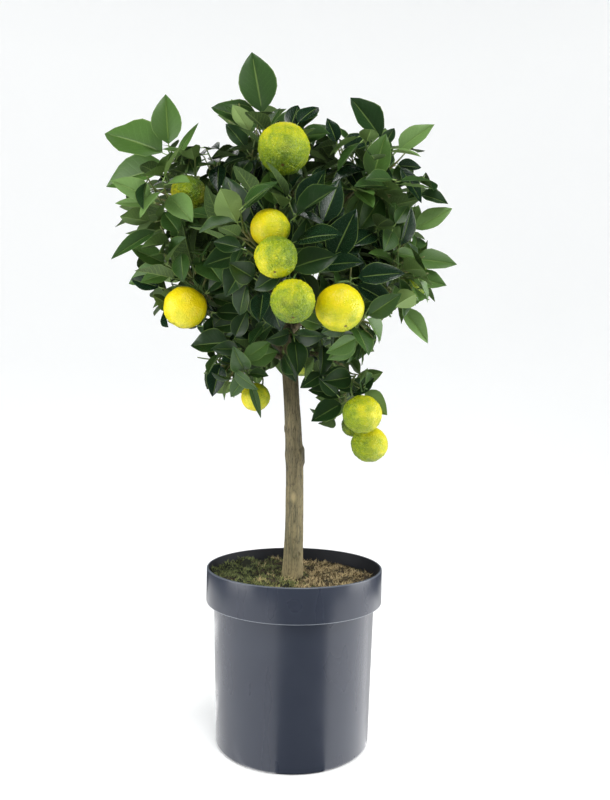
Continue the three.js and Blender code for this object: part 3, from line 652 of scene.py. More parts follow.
def joined_mesh(name, points, corners, slots, materials):
    """A mesh from an array of points and lists of faces, each with its place in the materials."""
    mesh = bpy.data.meshes.new(name)
    mesh.from_pydata(points.tolist(), [], corners)
    mesh.polygons.foreach_set("material_index", np.asarray(slots, np.int32))
    for material in materials:
        mesh.materials.append(material)
    mesh.update()
    piece = bpy.data.objects.new(name, mesh)
    bpy.context.scene.collection.objects.link(piece)
    return piece


def chosen(shares, *reasons):
    """Whether each spike is picked: the first share of all, and each other share times its reason."""
    level = shares[0]
    for share, reason in zip(shares[1:], reasons):
        level = level + share * reason
    return chance.random(count) < level


scatter = chance.normal(0, DRY_SCATTER, count)
dryness = DRY_LEVEL + spike_x * DRY_RIGHTWARDS + DRY_IN_CLUMPS * clump + scatter
tuft_x, tuft_width, tuft_start = FRONT_TUFT
in_front = np.clip(-spike_y * tuft_start, 0, 1) * np.exp(-(((spike_x - tuft_x) / tuft_width) ** 2))
# Painted shade, in part: spikes low in the hollows lean to dark and brown, those high on the mounds to
# green and tan.
mounded = np.clip((roots[:, 2] - moss_low.z - MOSS_HEIGHT) / MOSS_FLUFF, -1, 1)
greens = np.where(chosen(GREEN_SHARES, clump, in_front, mounded), GREEN, DARK)
greens = np.where(chosen((0, LIGHT_SHARE), in_front), LIGHT, greens)
drys = np.where(chosen(TAN_SHARES, clump, mounded), TAN, BROWN)
spike_slot = np.where(dryness < 0.5, greens, drys)
spike_paints = []
for name, shade in MOSS_COLOURS.items():
    paint = Finish(name, roughness=0.85)
    paint.feed("Base Color", shade)
    spike_paints.append(paint.material)
starts = range(0, spike_points.shape[1] * count, spike_points.shape[1])
spike_corners = [tuple(start + corner for corner in face) for start in starts for face in SPIKE_FACES]
spike_slots = np.repeat(spike_slot, len(SPIKE_FACES))
spike_points = spike_points.reshape(-1, 3)
spikes = joined_mesh("moss_spikes", spike_points, spike_corners, spike_slots, spike_paints)
print("moss:", count, "spikes")

# %% [markdown]
# From here on the tree is grown, by the plain model's own rule: a trunk, boughs that leave it, a
# stem on from each bough's tip, shoots from the stem, and leaves turned round each shoot by the
# golden angle. So the wood lands where the plain model has it, and the crown fills the same space.
# It works in millimetres, and whatever it grew is brought to metres when its mesh is made.

# %% Lines that things grow along
MM = 0.001
GOLDEN_ANGLE = math.pi * (3 - math.sqrt(5))
UP = np.array([0.0, 0.0, 1.0])
FRONT = np.array([0.0, -1.0, 0.0])
CROWN_HEART = np.array([-14.0, 0.0, 589.0])
COURSE_STEPS = 60
STOP_STEPS = 30


class Course:
    """A smooth line, asked by the share of its length."""

    def __init__(self, points):
        points = np.asarray(points, float)
        travelled = np.concatenate([[0], np.cumsum(np.linalg.norm(np.diff(points, axis=0), axis=1))])
        self.length = travelled[-1]
        even = np.linspace(0, self.length, COURSE_STEPS + 1)
        self.points = np.stack([np.interp(even, travelled, points[:, axis]) for axis in range(3)], 1)

    def at(self, share):
        place = np.clip(share, 0, 1) * COURSE_STEPS
        low = min(int(place), COURSE_STEPS - 1)
        return self.points[low] + (self.points[low + 1] - self.points[low]) * (place - low)

    def tangent(self, share):
        low = min(int(np.clip(share, 0, 1) * COURSE_STEPS), COURSE_STEPS - 1)
        return unit(self.points[low + 1] - self.points[low])

    def every(self, step):
        """Points along it, about one step apart."""
        count = max(2, math.ceil(self.length / step) + 1)
        return np.array([self.at(index / (count - 1)) for index in range(count)])


def arch(start, middle, end):
    """A course from start to end that leans towards middle."""
    share = np.linspace(0, 1, COURSE_STEPS)[:, None]
    return Course((1 - share) ** 2 * start + 2 * share * (1 - share) * middle + share ** 2 * end)


def between(first, second, start, end, now):
    return first + (second - first) * (now - start) / (end - start)


def through(stops):
    """A course through every stop, with no overshoot between them."""
    stops = [np.array(stop, float) for stop in stops]
    stops = [2 * stops[0] - stops[1], *stops, 2 * stops[-1] - stops[-2]]
    points = []
    for a, b, c, d in zip(stops, stops[1:], stops[2:], stops[3:]):
        gaps = [np.linalg.norm(b - a) ** 0.5, np.linalg.norm(c - b) ** 0.5, np.linalg.norm(d - c) ** 0.5]
        t = np.concatenate([[0], np.cumsum(gaps)])
        for now in np.linspace(t[1], t[2], STOP_STEPS, endpoint=False):
            ab = between(a, b, t[0], t[1], now)
            bc = between(b, c, t[1], t[2], now)
            cd = between(c, d, t[2], t[3], now)
            early = between(ab, bc, t[0], t[2], now)
            late = between(bc, cd, t[1], t[3], now)
            points.append(between(early, late, t[1], t[2], now))
    return Course([*points, stops[-2]])


def blend(first, second, share):
    return first + (second - first) * share


def square_to(vector, axis):
    """What is left of a vector at right angles to an axis, at length 1."""
    return unit(vector - axis * np.dot(vector, axis))


print("golden angle", round(math.degrees(GOLDEN_ANGLE), 1), "degrees")

# %% [markdown]
# The wood: a trunk that leans a little to the left as it rises, swollen at an old knot and at its
# fork, and thirteen boughs. Each bough leaves its parent at a share of the parent's length and
# ends where the foliage starts. Its rise lifts the middle of its course above the straight line.
# A swelling of the trunk has its share of the length, its height, and its width as a share.

# %% Trunk and boughs as lines
SOIL_LEVEL = 188.0
FIT_GAP = 0.35
TRUNK_STOPS = [
    (-2.6, 0, SOIL_LEVEL + FIT_GAP),
    (-1, 0, 272),
    (-2.4, 1, 337),
    (-8.5, 0, 431),
    (-13.6, 0, 482),
]
TRUNK_FOOT_RADIUS = 11.8
TRUNK_TOP_RADIUS = 9.2
TRUNK_FLARE = 2.4
TRUNK_FLARE_FADE = 22
TRUNK_SWELLINGS = [(0.52, 0.9, 0.03), (0.95, 1.2, 0.05)]
BOUGHS = [
    ("top", "trunk", 1, (-34, -2, 656), 14, (6.6, 3.2)),
    ("front", "trunk", 0.955, (-20, -58, 536), -8, (4.6, 3.0)),
    ("left", "trunk", 0.935, (-88, -16, 516), 6, (5.2, 3.0)),
    ("right", "trunk", 0.965, (72, -6, 540), -6, (5.2, 3.0)),
    ("back_low", "trunk", 0.95, (-4, 56, 516), 4, (4.8, 2.8)),
    ("hanging_right", "trunk", 0.925, (47, -20, 453), 12, (3.8, 2.4)),
    ("low_left", "trunk", 0.9, (-52, -22, 466), 4, (3.4, 2.4)),
    ("upper_left", "top", 0.22, (-92, -12, 616), -12, (4.4, 2.8)),
    ("upper_right", "top", 0.36, (46, -8, 636), -12, (4.2, 2.8)),
    ("back_top", "top", 0.5, (-14, 44, 638), -8, (3.8, 2.6)),
    ("low_right", "right", 0.3, (42, -40, 504), -4, (3.4, 2.4)),
    ("back_left", "back_low", 0.4, (-58, 66, 536), 0, (3.6, 2.6)),
    ("back_right", "back_low", 0.55, (48, 68, 540), 0, (3.6, 2.6)),
]


class Limb:
    """The trunk or a bough: a course, and a function for its radius at a share of its length."""

    def __init__(self, course, radius_at):
        self.course = course
        self.radius_at = radius_at


def tapering(first, last):
    return lambda share: blend(first, last, share)


def trunk_radius(share):
    radius = blend(TRUNK_FOOT_RADIUS, TRUNK_TOP_RADIUS, share)
    radius += TRUNK_FLARE * math.exp(-share * TRUNK_FLARE_FADE)
    for at, swell, width in TRUNK_SWELLINGS:
        radius += swell * math.exp(-(((share - at) / width) ** 2))
    return radius


limbs = {"trunk": Limb(through(TRUNK_STOPS), trunk_radius)}
for name, parent, at, tip, rise, radii in BOUGHS:
    start = limbs[parent].course.at(at)
    tip = np.array(tip, float)
    middle = blend(start, tip, 0.5) + rise * UP
    limbs[name] = Limb(arch(start, middle, tip), tapering(*radii))
print("trunk:", round(limbs["trunk"].course.length), "mm long, with", len(BOUGHS), "boughs")

# %% [markdown]
# A limb is round and tapers along a bent line. It could be raised ring by ring, as the pot is, but
# each ring would have to be turned along the line. A curve with a thickness gives the round limb in
# one step, with a radius at each of its points, and is then made a mesh.

# %% Limbs as meshes
TRUNK_RINGS = 190
TRUNK_ROUNDNESS = 30
BOUGH_ROUNDNESS = 6
BOUGH_RING_STEP = 3.0
BOUGH_COLLAR = 0.35
BOUGH_COLLAR_FADE = 9
SMALLEST_STEP = 1e-6


def limb_piece(name, limbs_to_draw, roundness):
    """Limbs as thick curves, made one mesh: each is a list of points and of radii, in metres."""
    curve = bpy.data.curves.new(name, "CURVE")
    curve.dimensions = "3D"
    curve.bevel_depth = 1.0
    curve.bevel_resolution = roundness
    curve.use_fill_caps = True
    for points, radii in limbs_to_draw:
        spline = curve.splines.new("POLY")
        spline.points.add(len(points) - 1)
        spline.points.foreach_set("co", np.column_stack([points, np.ones(len(points))]).ravel())
        spline.points.foreach_set("radius", np.asarray(radii, float))
    piece = bpy.data.objects.new(name, curve)
    bpy.context.scene.collection.objects.link(piece)
    take(piece)
    bpy.ops.object.convert(target="MESH")
    bpy.ops.object.mode_set(mode="EDIT")
    bpy.ops.mesh.select_all(action="SELECT")
    bpy.ops.mesh.remove_doubles(threshold=SMALLEST_STEP)
    bpy.ops.object.mode_set(mode="OBJECT")
    piece.data.uv_layers.remove(piece.data.uv_layers[0])
    return piece


def drawn_limb(limb, rings, collar=0.0):
    """Points and radii of a limb in metres, with a collar that swells where it leaves its parent."""
    shares = np.linspace(0, 1, rings)
    points = np.array([limb.course.at(share) for share in shares]) * MM
    swells = [1 + collar * math.exp(-share * BOUGH_COLLAR_FADE) for share in shares]
    radii = [limb.radius_at(share) * swell * MM for share, swell in zip(shares, swells)]
    return points, radii


trunk_drawn = drawn_limb(limbs["trunk"], TRUNK_RINGS)
boughs_drawn = []
for name, *rest in BOUGHS:
    bough_rings = math.ceil(limbs[name].course.length / BOUGH_RING_STEP)
    boughs_drawn.append(drawn_limb(limbs[name], bough_rings, BOUGH_COLLAR))
print("rings:", TRUNK_RINGS, "on the trunk, and boughs:", len(boughs_drawn))

# %% [markdown]
# The bark is smooth, with fine upright cracks, a few ridges and some scars of cut twigs. They could
# be sculpted. Here the mesh is divided once, and its points are pushed in along cracks that a noise
# draws, and round each scar into a lip and a hollow. A scar has its middle, its width and the
# height of its lip, and a low one is healed pale. How dark each point is goes into an attribute, so
# that the colour follows the same cracks.

# %% Bark
CRACK_DEPTH = 0.00042
CRACK_ACROSS = 520
CRACK_UPRIGHT = 46
CRACK_SHARPNESS = 3.2
RIDGE_DEPTH = 0.0007
RIDGE_ACROSS = 150
RIDGE_UPRIGHT = 22
PALE_SCAR = 0.5
SCAR_SQUEEZE = 0.62
SCAR_EDGE = 2
SCAR_LIP = (0.8, 0.35)
SCAR_HOLLOW = (0.6, 0.6)
SCAR_DARKENS = 0.8
SCAR_PALES = 2
TRUNK_SCARS = [
    ((8, -2, 340), 6.5, 1.9),
    ((-2.6, -12, 291), 9.5, 0.35),
    ((-12, -4, 372), 4, 1.1),
    ((5, -10, 222), 3, 0.8),
]


def refine(piece, levels):
    """Divides a piece smoothly."""
    finer = piece.modifiers.new("finer", "SUBSURF")
    finer.levels = finer.render_levels = levels
    bpy.context.view_layer.objects.active = piece
    bpy.ops.object.modifier_apply(modifier=finer.name)


def upright_noise(spot, across, upright):
    """A noise with so many cells to the metre across the wood, and so many up it."""
    return noise.noise(Vector((spot.x * across, spot.y * across, spot.z * upright)))


def hill(away, place, width):
    """1 at a place, falling to 0 on both sides over about a width."""
    return math.exp(-(((away - place) / width) ** 2))


def carve_bark(piece, scars):
    """Pushes the points of a limb in along cracks, and keeps how dark each one is."""
    normals = [vertex.normal.copy() for vertex in piece.data.vertices]
    depths = []
    for vertex, normal in zip(piece.data.vertices, normals):
        spot = vertex.co.copy()
        ridged = abs(upright_noise(spot, CRACK_ACROSS, CRACK_UPRIGHT)) * CRACK_SHARPNESS
        crack = (1 - min(1, ridged)) ** 2
        ridge = upright_noise(spot, RIDGE_ACROSS, RIDGE_UPRIGHT)
        move = RIDGE_DEPTH * ridge - CRACK_DEPTH * crack
        for place, width, height in scars:
            offset = (spot - Vector(place) * MM) * Vector((1, 1, SCAR_SQUEEZE))
            away = offset.length / (width * MM)
            if away < SCAR_EDGE:
                healed = hill(away, 0, SCAR_HOLLOW[1])
                move += height * MM * (hill(away, *SCAR_LIP) - SCAR_HOLLOW[0] * healed)
                if height > PALE_SCAR:
                    crack = max(crack, SCAR_DARKENS * healed * height)
                else:
                    crack = min(crack, 1 - SCAR_PALES * healed)
        vertex.co = spot + normal * move
        depths.append(crack)
    keep_values(piece, "crack", depths)
    piece.data.update()


def bark_piece(name, limbs_to_draw, roundness, scars):
    piece = limb_piece(name, limbs_to_draw, roundness)
    refine(piece, 1)
    carve_bark(piece, scars)
    bpy.ops.object.shade_smooth()
    return piece


trunk = bark_piece("trunk_bark", [trunk_drawn], TRUNK_ROUNDNESS, TRUNK_SCARS)
boughs = bark_piece("boughs_bark", boughs_drawn, BOUGH_ROUNDNESS, [])
print("bark:", len(trunk.data.polygons) + len(boughs.data.polygons), "faces")

# %% [markdown]
# Old bark isn't one colour. On the real trunk it is olive and grey in blotches, pale where it is
# stretched, and dark in its cracks. Its foot is painted pale, a painted light against the shade of
# the pot's rim, and it is painted darker the nearer it is to the crown, as the crown's shade. Paint
# could be laid on by hand. Layers of noise do the same, each stretched upright as the bark is, and
# the cracks come from the mesh, so that relief and colour agree.

# %% Bark finish
BARK_OLIVE = colour(122, 112, 77)
BARK_GREY = colour(96, 91, 64)
BARK_DARK = colour(44, 38, 26)
BARK_PALE = colour(158, 143, 102)
PAINTED_LIGHT_FOOT = (0.192, 0.23)
SHADED_TOP = (0.23, 0.35)

bark = Finish("olive_bark", roughness=0.8)
crack = bark.kept("crack")
stripes = bark.clouds(bark.places((1, 1, 0.08)), scale=420, detail=4, roughness=0.6)
blotches = bark.clouds(bark.places((1, 1, 0.4)), scale=60, detail=3)
fibres = bark.clouds(bark.places((1, 1, 0.06)), scale=1500, detail=2)
dashes = bark.clouds(bark.places((1, 1, 0.32)), scale=820, detail=3, roughness=0.6)
height = bark.node("ShaderNodeSeparateXYZ", {}, {0: bark.places()}, output=2)
skin = bark.mix(blotches.fade(0.38, 0.62), BARK_OLIVE, BARK_GREY)
skin = bark.mix(stripes.fade(0.46, 0.7) * 0.55, skin, BARK_PALE)
# Painted light: the foot is painted pale, against the shade of the pot's rim.
skin = bark.mix((1 - height.fade(*PAINTED_LIGHT_FOOT)) * 0.65, skin, BARK_PALE)
skin = bark.mix(dashes.fade(0.5, 0.66) * 0.6, skin, BARK_DARK)
# Painted shade: the bark darkens towards the crown, as the crown's shade.
skin = bark.mix(height.fade(*SHADED_TOP) * 0.46, skin, BARK_DARK)
skin = bark.mix((0 - crack).fade(-0.4, 1.0) * 0.8, skin, BARK_PALE)
bark.feed("Base Color", bark.mix(crack.fade(0.45, 1.0) * 0.6, skin, BARK_DARK))
bark.feed("Roughness", 0.68 + 0.2 * stripes)
bark.bumps(fibres * 0.5 + stripes * 0.5 - dashes * 0.8, depth=0.0007)
bark.paint(trunk, boughs)
print("bark finish:", len(bark.nodes), "nodes")

# %% [markdown]
# The crown is thirteen masses of foliage, and each keeps to its own space round the boughs. The
# table gives where each mass has its middle, how far it reaches along X, Y and Z, how many free
# shoots it starts, and its seed. The shoots that draw the crown's outline from the front are the
# leaders: where each one ends, the tone of its leaves, and its fan of leaves, each as a clock
# angle from straight up, a length and, for a narrow leaf, its share of width. A fruit has its
# middle, its radius, whether leaves may veil it, how green it is, and which way it gets greener
# and darker, partly as painted shade.

# %% Masses, leaders and fruits
MASSES = [
    ("top", (-46, -8, 714), (86, 86, 84), 7, 11),
    ("upper_left", (-140, -18, 656), (92, 88, 92), 7, 12),
    ("left", (-134, -16, 549), (84, 98, 84), 7, 24),
    ("low_left", (-78, -22, 450), (62, 60, 58), 6, 14),
    ("front", (-26, -96, 579), (92, 80, 96), 7, 15),
    ("upper_right", (86, -18, 676), (86, 88, 84), 7, 16),
    ("right", (120, -12, 572), (74, 98, 84), 7, 17),
    ("low_right", (62, -72, 509), (76, 74, 66), 7, 18),
    ("hanging_right", (58, -24, 418), (52, 50, 54), 4, 19),
    ("back_top", (-10, 84, 684), (92, 84, 84), 7, 20),
    ("back_left", (-108, 84, 592), (92, 88, 88), 7, 21),
    ("back_right", (92, 86, 596), (88, 88, 88), 7, 22),
    ("back_low", (-8, 88, 492), (104, 80, 74), 7, 23),
]
LEADERS = [
    ("top", (-45, -20, 736), "full", [(-10, 75, 0.57), (-66, 68), (-58, 52), (22, 42, 0.3), (72, 64)]),
    ("top", (-60, -44, 690), "deep", [(-36, 40), (-100, 34), (-132, 40)]),
    ("top", (-4, -30, 712), "full", [(50, 42), (-26, 40), (74, 54)]),
    ("upper_left", (-155, -30, 696), "mid", [(-3, 62), (-64, 93), (28, 50, 0.2), (-94, 92)]),
    ("upper_left", (-164, -52, 628), "bright", [(-60, 54), (-84, 54, 0.26)]),
    ("left", (-152, -30, 562), "mid", [(-66, 46), (-102, 56), (-128, 40)]),
    ("left", (-158, -52, 602), "full", [(-121, 63, 0.3)]),
    ("upper_left", (-144, -44, 616), "full", [(78, 48), (112, 48)]),
    ("left", (-100, -34, 506), "deep", [(96, 44), (172, 42)]),
    ("low_left", (-74, -44, 474), "deep", [(16, 36), (-93, 50, 0.6)]),
    ("low_left", (-90, -25, 452), "glossy", [(-168, 42), (-140, 40)]),
    ("low_left", (-55, -54, 432), "full", [(160, 46, 0.2), (-140, 32), (95, 24)]),
    ("upper_right", (100, -18, 713), "deep", [(-38, 63, 0.54), (26, 31)]),
    ("upper_right", (111, -20, 701), "bright", [(51, 54)]),
    ("upper_right", (138, -30, 650), "deep", [(104, 36)]),
    ("upper_right", (42, -40, 702), "glossy", [(-22, 32), (62, 42), (150, 54, 0.36)]),
    ("upper_right", (80, -48, 652), "mid", [(16, 58)]),
    ("upper_right", (112, -40, 684), "glossy", [(146, 52, 0.34), (92, 34)]),
    ("upper_right", (116, -36, 652), "full", [(94, 42), (24, 46), (-66, 50)]),
    ("right", (130, -22, 608), "bright", [(59, 53), (18, 42), (-60, 44)]),
    ("right", (128, -22, 577), "mid", [(97, 55), (20, 34)]),
    ("right", (128, -26, 553), "mid", [(100, 44)]),
    ("right", (118, -26, 521), "bright", [(141, 54, 0.4), (94, 32)]),
    ("low_right", (84, -40, 496), "full", [(-160, 42), (176, 34)]),
    ("low_right", (56, -106, 538), "glossy", [(82, 54), (110, 56)]),
    ("hanging_right", (32, -38, 440), "deep", [(-122, 33)]),
    ("hanging_right", (57, -32, 405), "deep", [(-118, 44, 0.58), (36, 44), (-84, 42), (-36, 40)]),
    ("front", (36, -86, 555), "glossy", [(24, 62), (64, 54), (106, 48), (-10, 34)]),
    ("front", (4, -98, 548), "deep", [(5, 50), (150, 40)]),
    ("front", (-52, -104, 564), "deep", [(-106, 50), (-146, 52)]),
]
FRUITS = [
    ("top", (-17.6, -95, 677), 28, False, 0.5, (0, 0, -0.17)),
    # The fruit on the upper left sits deep in the crown, and part of its greenness is painted shade.
    ("upper_left", (-127, -48, 641), 20, True, 0.6, (0.24, 0, 0.1)),
    ("front", (-30, -116, 586), 20.8, False, 0.2, (0.12, 0, -0.05)),
    ("front", (-22, -147, 550), 21.6, False, 0.48, (0.12, 0, 0.08)),
    ("front", (-4.3, -150, 505.5), 22.5, False, 0.5, (0, 0, -0.17)),
    ("low_right", (44, -124, 503), 25.4, False, 0.19, (0.06, 0, -0.12)),
    ("left", (-127, -60, 509), 24.2, False, 0.04, (0, 0, -0.13)),
    ("low_left", (-48.5, -26, 409.6), 17, True, 0.3, (0.08, 0, 0.08)),
    ("hanging_right", (74, -58, 392), 22.3, False, 0.42, (-0.12, 0, -0.06)),
    ("hanging_right", (86, -22, 356), 21.6, False, 0.42, (-0.12, 0, -0.1)),
    ("hanging_right", (68, -8, 378), 14.5, False, 0.85, (0, 0, 0.1)),
    ("right", (146, 42, 560), 21, False, 0.8, (0, 0.1, 0.1)),
    ("back_left", (-142, 92, 544), 22, False, 0.16, (0.2, 0, -0.2)),
    ("back_left", (-66, 152, 576), 23, False, 0.5, (0.2, 0, 0.3)),
    ("back_right", (64, 158, 552), 24, False, 0.12, (0, 0, -0.2)),
    ("back_right", (84, 120, 616), 19, False, 0.8, (0, 0, 0.15)),
    ("back_top", (-6, 142, 680), 24, False, 0.32, (-0.2, 0, 0.3)),
    ("back_low", (6, 122, 460), 21, False, 0.24, (0.2, 0, -0.3)),
]


class Fruit:
    """One fruit, with the side on which it is looked at."""

    def __init__(self, mass, centre, radius, veiled, greenness, greener_and_shaded_side):
        self.mass = mass
        self.centre = np.array(centre, float)
        self.radius = radius
        self.veiled = veiled
        self.greenness = greenness
        self.greener_and_shaded_side = np.array(greener_and_shaded_side, float)
        outward = (self.centre - CROWN_HEART) * (1, 1, 0)
        self.open_side = FRONT if self.centre[1] < 0 else unit(outward)


fruits = [Fruit(*row) for row in FRUITS]
fruit_centres = np.array([fruit.centre for fruit in fruits])
fruit_radii = np.array([fruit.radius for fruit in fruits])
mass_names = [row[0] for row in MASSES]
mass_centres = np.array([row[1] for row in MASSES], float)
mass_reaches = np.array([row[2] for row in MASSES], float)
print("masses:", len(MASSES), "leaders:", len(LEADERS), "fruits:", len(fruits))

# %% [markdown]
# The crown isn't closed: between its groups of leaves the sky shows, and that draws its outline.
# The clear places are circles in the upright plane through the trunk, as the camera sees them
# from the front. Twigs and leaves that would show in one aren't grown. A second list keeps room
# for the leaders' large leaves at the crown's edge. Both leave the leaders' own leaves alone.

# %% Open sky
SKY = [
    ((-123, 753), 15),
    ((-113, 731), 17),
    ((-92, 723), 10),
    ((-130, 806), 42),
    ((9, 804), 39),
    ((48, 756), 13),
    ((138, 776), 31),
    ((190, 694), 33),
    ((227, 549), 42),
    ((175, 603), 17),
    ((188, 513), 27),
    ((128, 465), 29),
    ((113, 499), 10),
    ((-164, 458), 34),
    ((-133, 480), 10),
    ((-207, 510), 31),
    ((-232, 554), 22),
    ((-250, 626), 25),
    ((-112, 389), 24),
    ((-33, 431), 11),
    ((14, 420), 11),
    ((118, 418), 13),
    ((55, 362), 11),
    ((-90, 790), 16),
    ((-12, 784), 18),
    ((112, 764), 18),
    ((-120, 444), 9),
]
LEADERS_ROOM = [
    ((-54, 795), 34),
    ((-164, 745), 28),
    ((-217, 720), 24),
    ((-187, 708), 14),
    ((-222, 674), 20),
    ((73, 755), 20),
    ((143, 731), 18),
    ((162, 632), 22),
    ((-215, 589), 17),
    ((172, 574), 18),
    ((148, 503), 20),
    ((130, 694), 12),
]
sky_centres = np.array([centre for centre, radius in SKY + LEADERS_ROOM], float)
sky_radii = np.array([radius for centre, radius in SKY + LEADERS_ROOM], float)
eye = np.array(EYE) / MM


def in_sky(points):
    """Whether any point shows in a clear place or a leader's room, seen from the camera."""
    sight = points - eye
    seen = eye + sight * (-eye[1] / sight[:, 1:2])
    apart = np.linalg.norm(seen[:, None, ::2] - sky_centres[None], axis=2)
    return (apart < sky_radii).any()


print("clear places:", len(SKY))

# %% [markdown]
# Two tests keep the growth tidy. The first says how far a point lies inside its own mass's space:
# each mass keeps to its side of a plane between it and every neighbour. The second keeps twigs
# and leaves clear of wood and fruits, and keeps the open side of each fruit free to look at.

# %% Space
CELL_GAP = 0.35
LEAF_TO_LIMB = 3.0
LEAF_TO_FRUIT = 2.5
FRUIT_VIEW = 70
FRUIT_VIEW_SHARE = 0.9
STATION_STEP = 5
ROOT_LENGTH = 3.0
TRIAL_STEP = 4
TWIG_TO_FRUIT = 1
mass_power = mass_reaches.max(axis=1) ** 2
mass_apart = np.linalg.norm(mass_centres[:, None] - mass_centres[None], axis=2)
np.fill_diagonal(mass_apart, np.inf)
station_points, station_radii = [], []
for limb in limbs.values():
    line = limb.course.every(STATION_STEP)
    station_points += list(line)
    station_radii += [limb.radius_at(share) for share in np.linspace(0, 1, len(line))]
station_points = np.array(station_points)
station_radii = np.array(station_radii)


def distances(points, others):
    return np.linalg.norm(points[:, None] - others[None], axis=2)


def cell_margin(mass, points):
    """How far inside the mass's space each point lies, in millimetres."""
    power = ((points[:, None] - mass_centres[None]) ** 2).sum(axis=2) - mass_power
    margins = (power - power[:, mass:mass + 1]) / (2 * mass_apart[mass])
    margins[:, mass] = np.inf
    return margins.min(axis=1)


def meets_limb(points, clearance):
    return (distances(points, station_points) < station_radii + clearance).any()


def hides_fruit(points):
    """Whether a point touches a fruit, or hangs before the open side of one that isn't veiled."""
    for fruit in fruits:
        away = points - fruit.centre
        ahead = np.clip(away @ fruit.open_side, 0, 0 if fruit.veiled else FRUIT_VIEW)
        radius = np.where(ahead > 0, fruit.radius * FRUIT_VIEW_SHARE, fruit.radius)
        away = away - ahead[:, None] * fruit.open_side
        if (np.linalg.norm(away, axis=1) < radius + LEAF_TO_FRUIT).any():
            return True
    return False


def twig_fits(course, radius, mass, root_length=ROOT_LENGTH):
    """Whether a twig stays in its mass's space and, past its root, clear of wood and fruits."""
    points = course.every(TRIAL_STEP)
    beyond = points[np.linalg.norm(points - points[0], axis=1) > root_length]
    if cell_margin(mass, points).min() < radius + CELL_GAP:
        return False
    if len(beyond) == 0:
        return True
    if meets_limb(beyond, radius + LEAF_TO_LIMB):
        return False
    return not (distances(beyond, fruit_centres) < fruit_radii + radius + TWIG_TO_FRUIT).any()


print("stations along the wood:", len(station_points))

# %% [markdown]
# A stem runs on from each bough's tip to the middle of its mass. It could be a straight bar, but
# it keeps the bough's heading at first and then bends, so that wood and stem read as one branch.

# %% Stems
STEM_RADII = (2.4, 1.7)
STEM_DEPTH = 0.9
STEM_HEADING = 0.45


class Twig:
    """A stem, shoot, side twig, spur or stalk, with the tone of its leaves and a leader's fan."""

    def __init__(self, kind, mass, course, radii, tone="full", fan=()):
        self.kind = kind
        self.mass = mass
        self.course = course
        self.radii = radii
        self.tone = tone
        self.fan = fan
        self.tip = course.points[-1]


def grow_stem(mass):
    bough = limbs[mass_names[mass]].course
    heading = bough.tangent(1)
    start = bough.at(1) - heading
    end = blend(start, mass_centres[mass], STEM_DEPTH)
    middle = start + heading * STEM_HEADING * np.linalg.norm(end - start)
    return Twig("stem", mass, arch(start, middle, end), STEM_RADII)


mass_stems = [grow_stem(mass) for mass in range(len(MASSES))]
print("stems:", len(mass_stems))

# %% [markdown]
# Shoots branch from the stem. Drawn by chance alone, they would bunch up. So the free shoots'
# headings are even on a globe round the mass's middle, in an order that jumps about. The stream of
# chance that turns the globe and draws each reach is the plain model's own, so both crowns are alike.

# %% Shoots
SHOOT_RADII = (1.7, 1.0)
SHOOT_ROOTS = (0.55, 0.8, 0.3, 0.94)
SHOOT_MIDDLE = 0.55
SHOOT_SAG = 0.12
SHOOT_HEADINGS = 80
HEADING_STRIDE = 7
SHOOT_DEPTHS = (0.2, 0.62)
SHOOT_SPACING = 24
INWARD_LIMIT = -0.6


def seeded_stream(seed):
    """The same numbers between 0 and 1 for the same seed, by the small generator mulberry32."""
    state = seed
    whole = 0xFFFFFFFF

    def draw():
        nonlocal state
        state = (state + 0x6D2B79F5) & whole
        mixed = ((state ^ (state >> 15)) * (state | 1)) & whole
        mixed = ((mixed + ((mixed ^ (mixed >> 7)) * (mixed | 61) & whole)) & whole) ^ mixed
        return (mixed ^ (mixed >> 14)) / 2 ** 32

    return draw


def shoot_course(start, tip):
    """A shoot leaves the stem low and turns up towards its tip."""
    middle = blend(start, tip, SHOOT_MIDDLE)
    return arch(start, middle - SHOOT_SAG * np.linalg.norm(tip - start) * UP, tip)


def try_shoot(stem, tip, tone, fan):
    """A shoot from the first root on the stem that lets it reach its tip."""
    for share in SHOOT_ROOTS:
        course = shoot_course(stem.course.at(share), tip)
        if twig_fits(course, SHOOT_RADII[0], stem.mass):
            return Twig("shoot", stem.mass, course, SHOOT_RADII, tone, fan)
    return None


def grow_shoots(stem, random):
    """The leaders of a mass, and then its free shoots, spaced apart and not aimed at the heart."""
    mass = stem.mass
    leaders = [row[1:] for row in LEADERS if row[0] == mass_names[mass]]
    shoots = [try_shoot(stem, np.array(tip, float), tone, fan) for tip, tone, fan in leaders]
    shoots = [shoot for shoot in shoots if shoot]
    outward = unit(mass_centres[mass] - CROWN_HEART)
    turn = random() * 2 * math.pi
    wanted = MASSES[mass][3] + len(shoots)
    for k in range(SHOOT_HEADINGS):
        if len(shoots) == wanted:
            break
        height = 1 - (2 * ((k * HEADING_STRIDE) % SHOOT_HEADINGS) + 1) / SHOOT_HEADINGS
        flat = math.sqrt(1 - height * height)
        angle = turn + k * GOLDEN_ANGLE
        heading = np.array([flat * math.cos(angle), flat * math.sin(angle), height])
        depth = blend(*SHOOT_DEPTHS, random())
        if heading @ outward < INWARD_LIMIT:
            continue
        tip = mass_centres[mass] + heading * mass_reaches[mass] * depth
        if any(np.linalg.norm(shoot.tip - tip) < SHOOT_SPACING for shoot in shoots):
            continue
        shoot = try_shoot(stem, tip, "", ())
        if shoot:
            shoots.append(shoot)
    return shoots


twigs = []
for stem in mass_stems:
    twigs += [stem, *grow_shoots(stem, seeded_stream(MASSES[stem.mass][4]))]
print("shoots:", len(twigs) - len(mass_stems))

# %% [markdown]
# A fruit hangs from a stalk that arches over and comes down into its upper side. It could be set
# at the end of a shoot, but the fruits hang where the picture has them. So the stalk looks for its
# own root: the nearest place on a twig of the same mass from which it reaches the fruit freely.

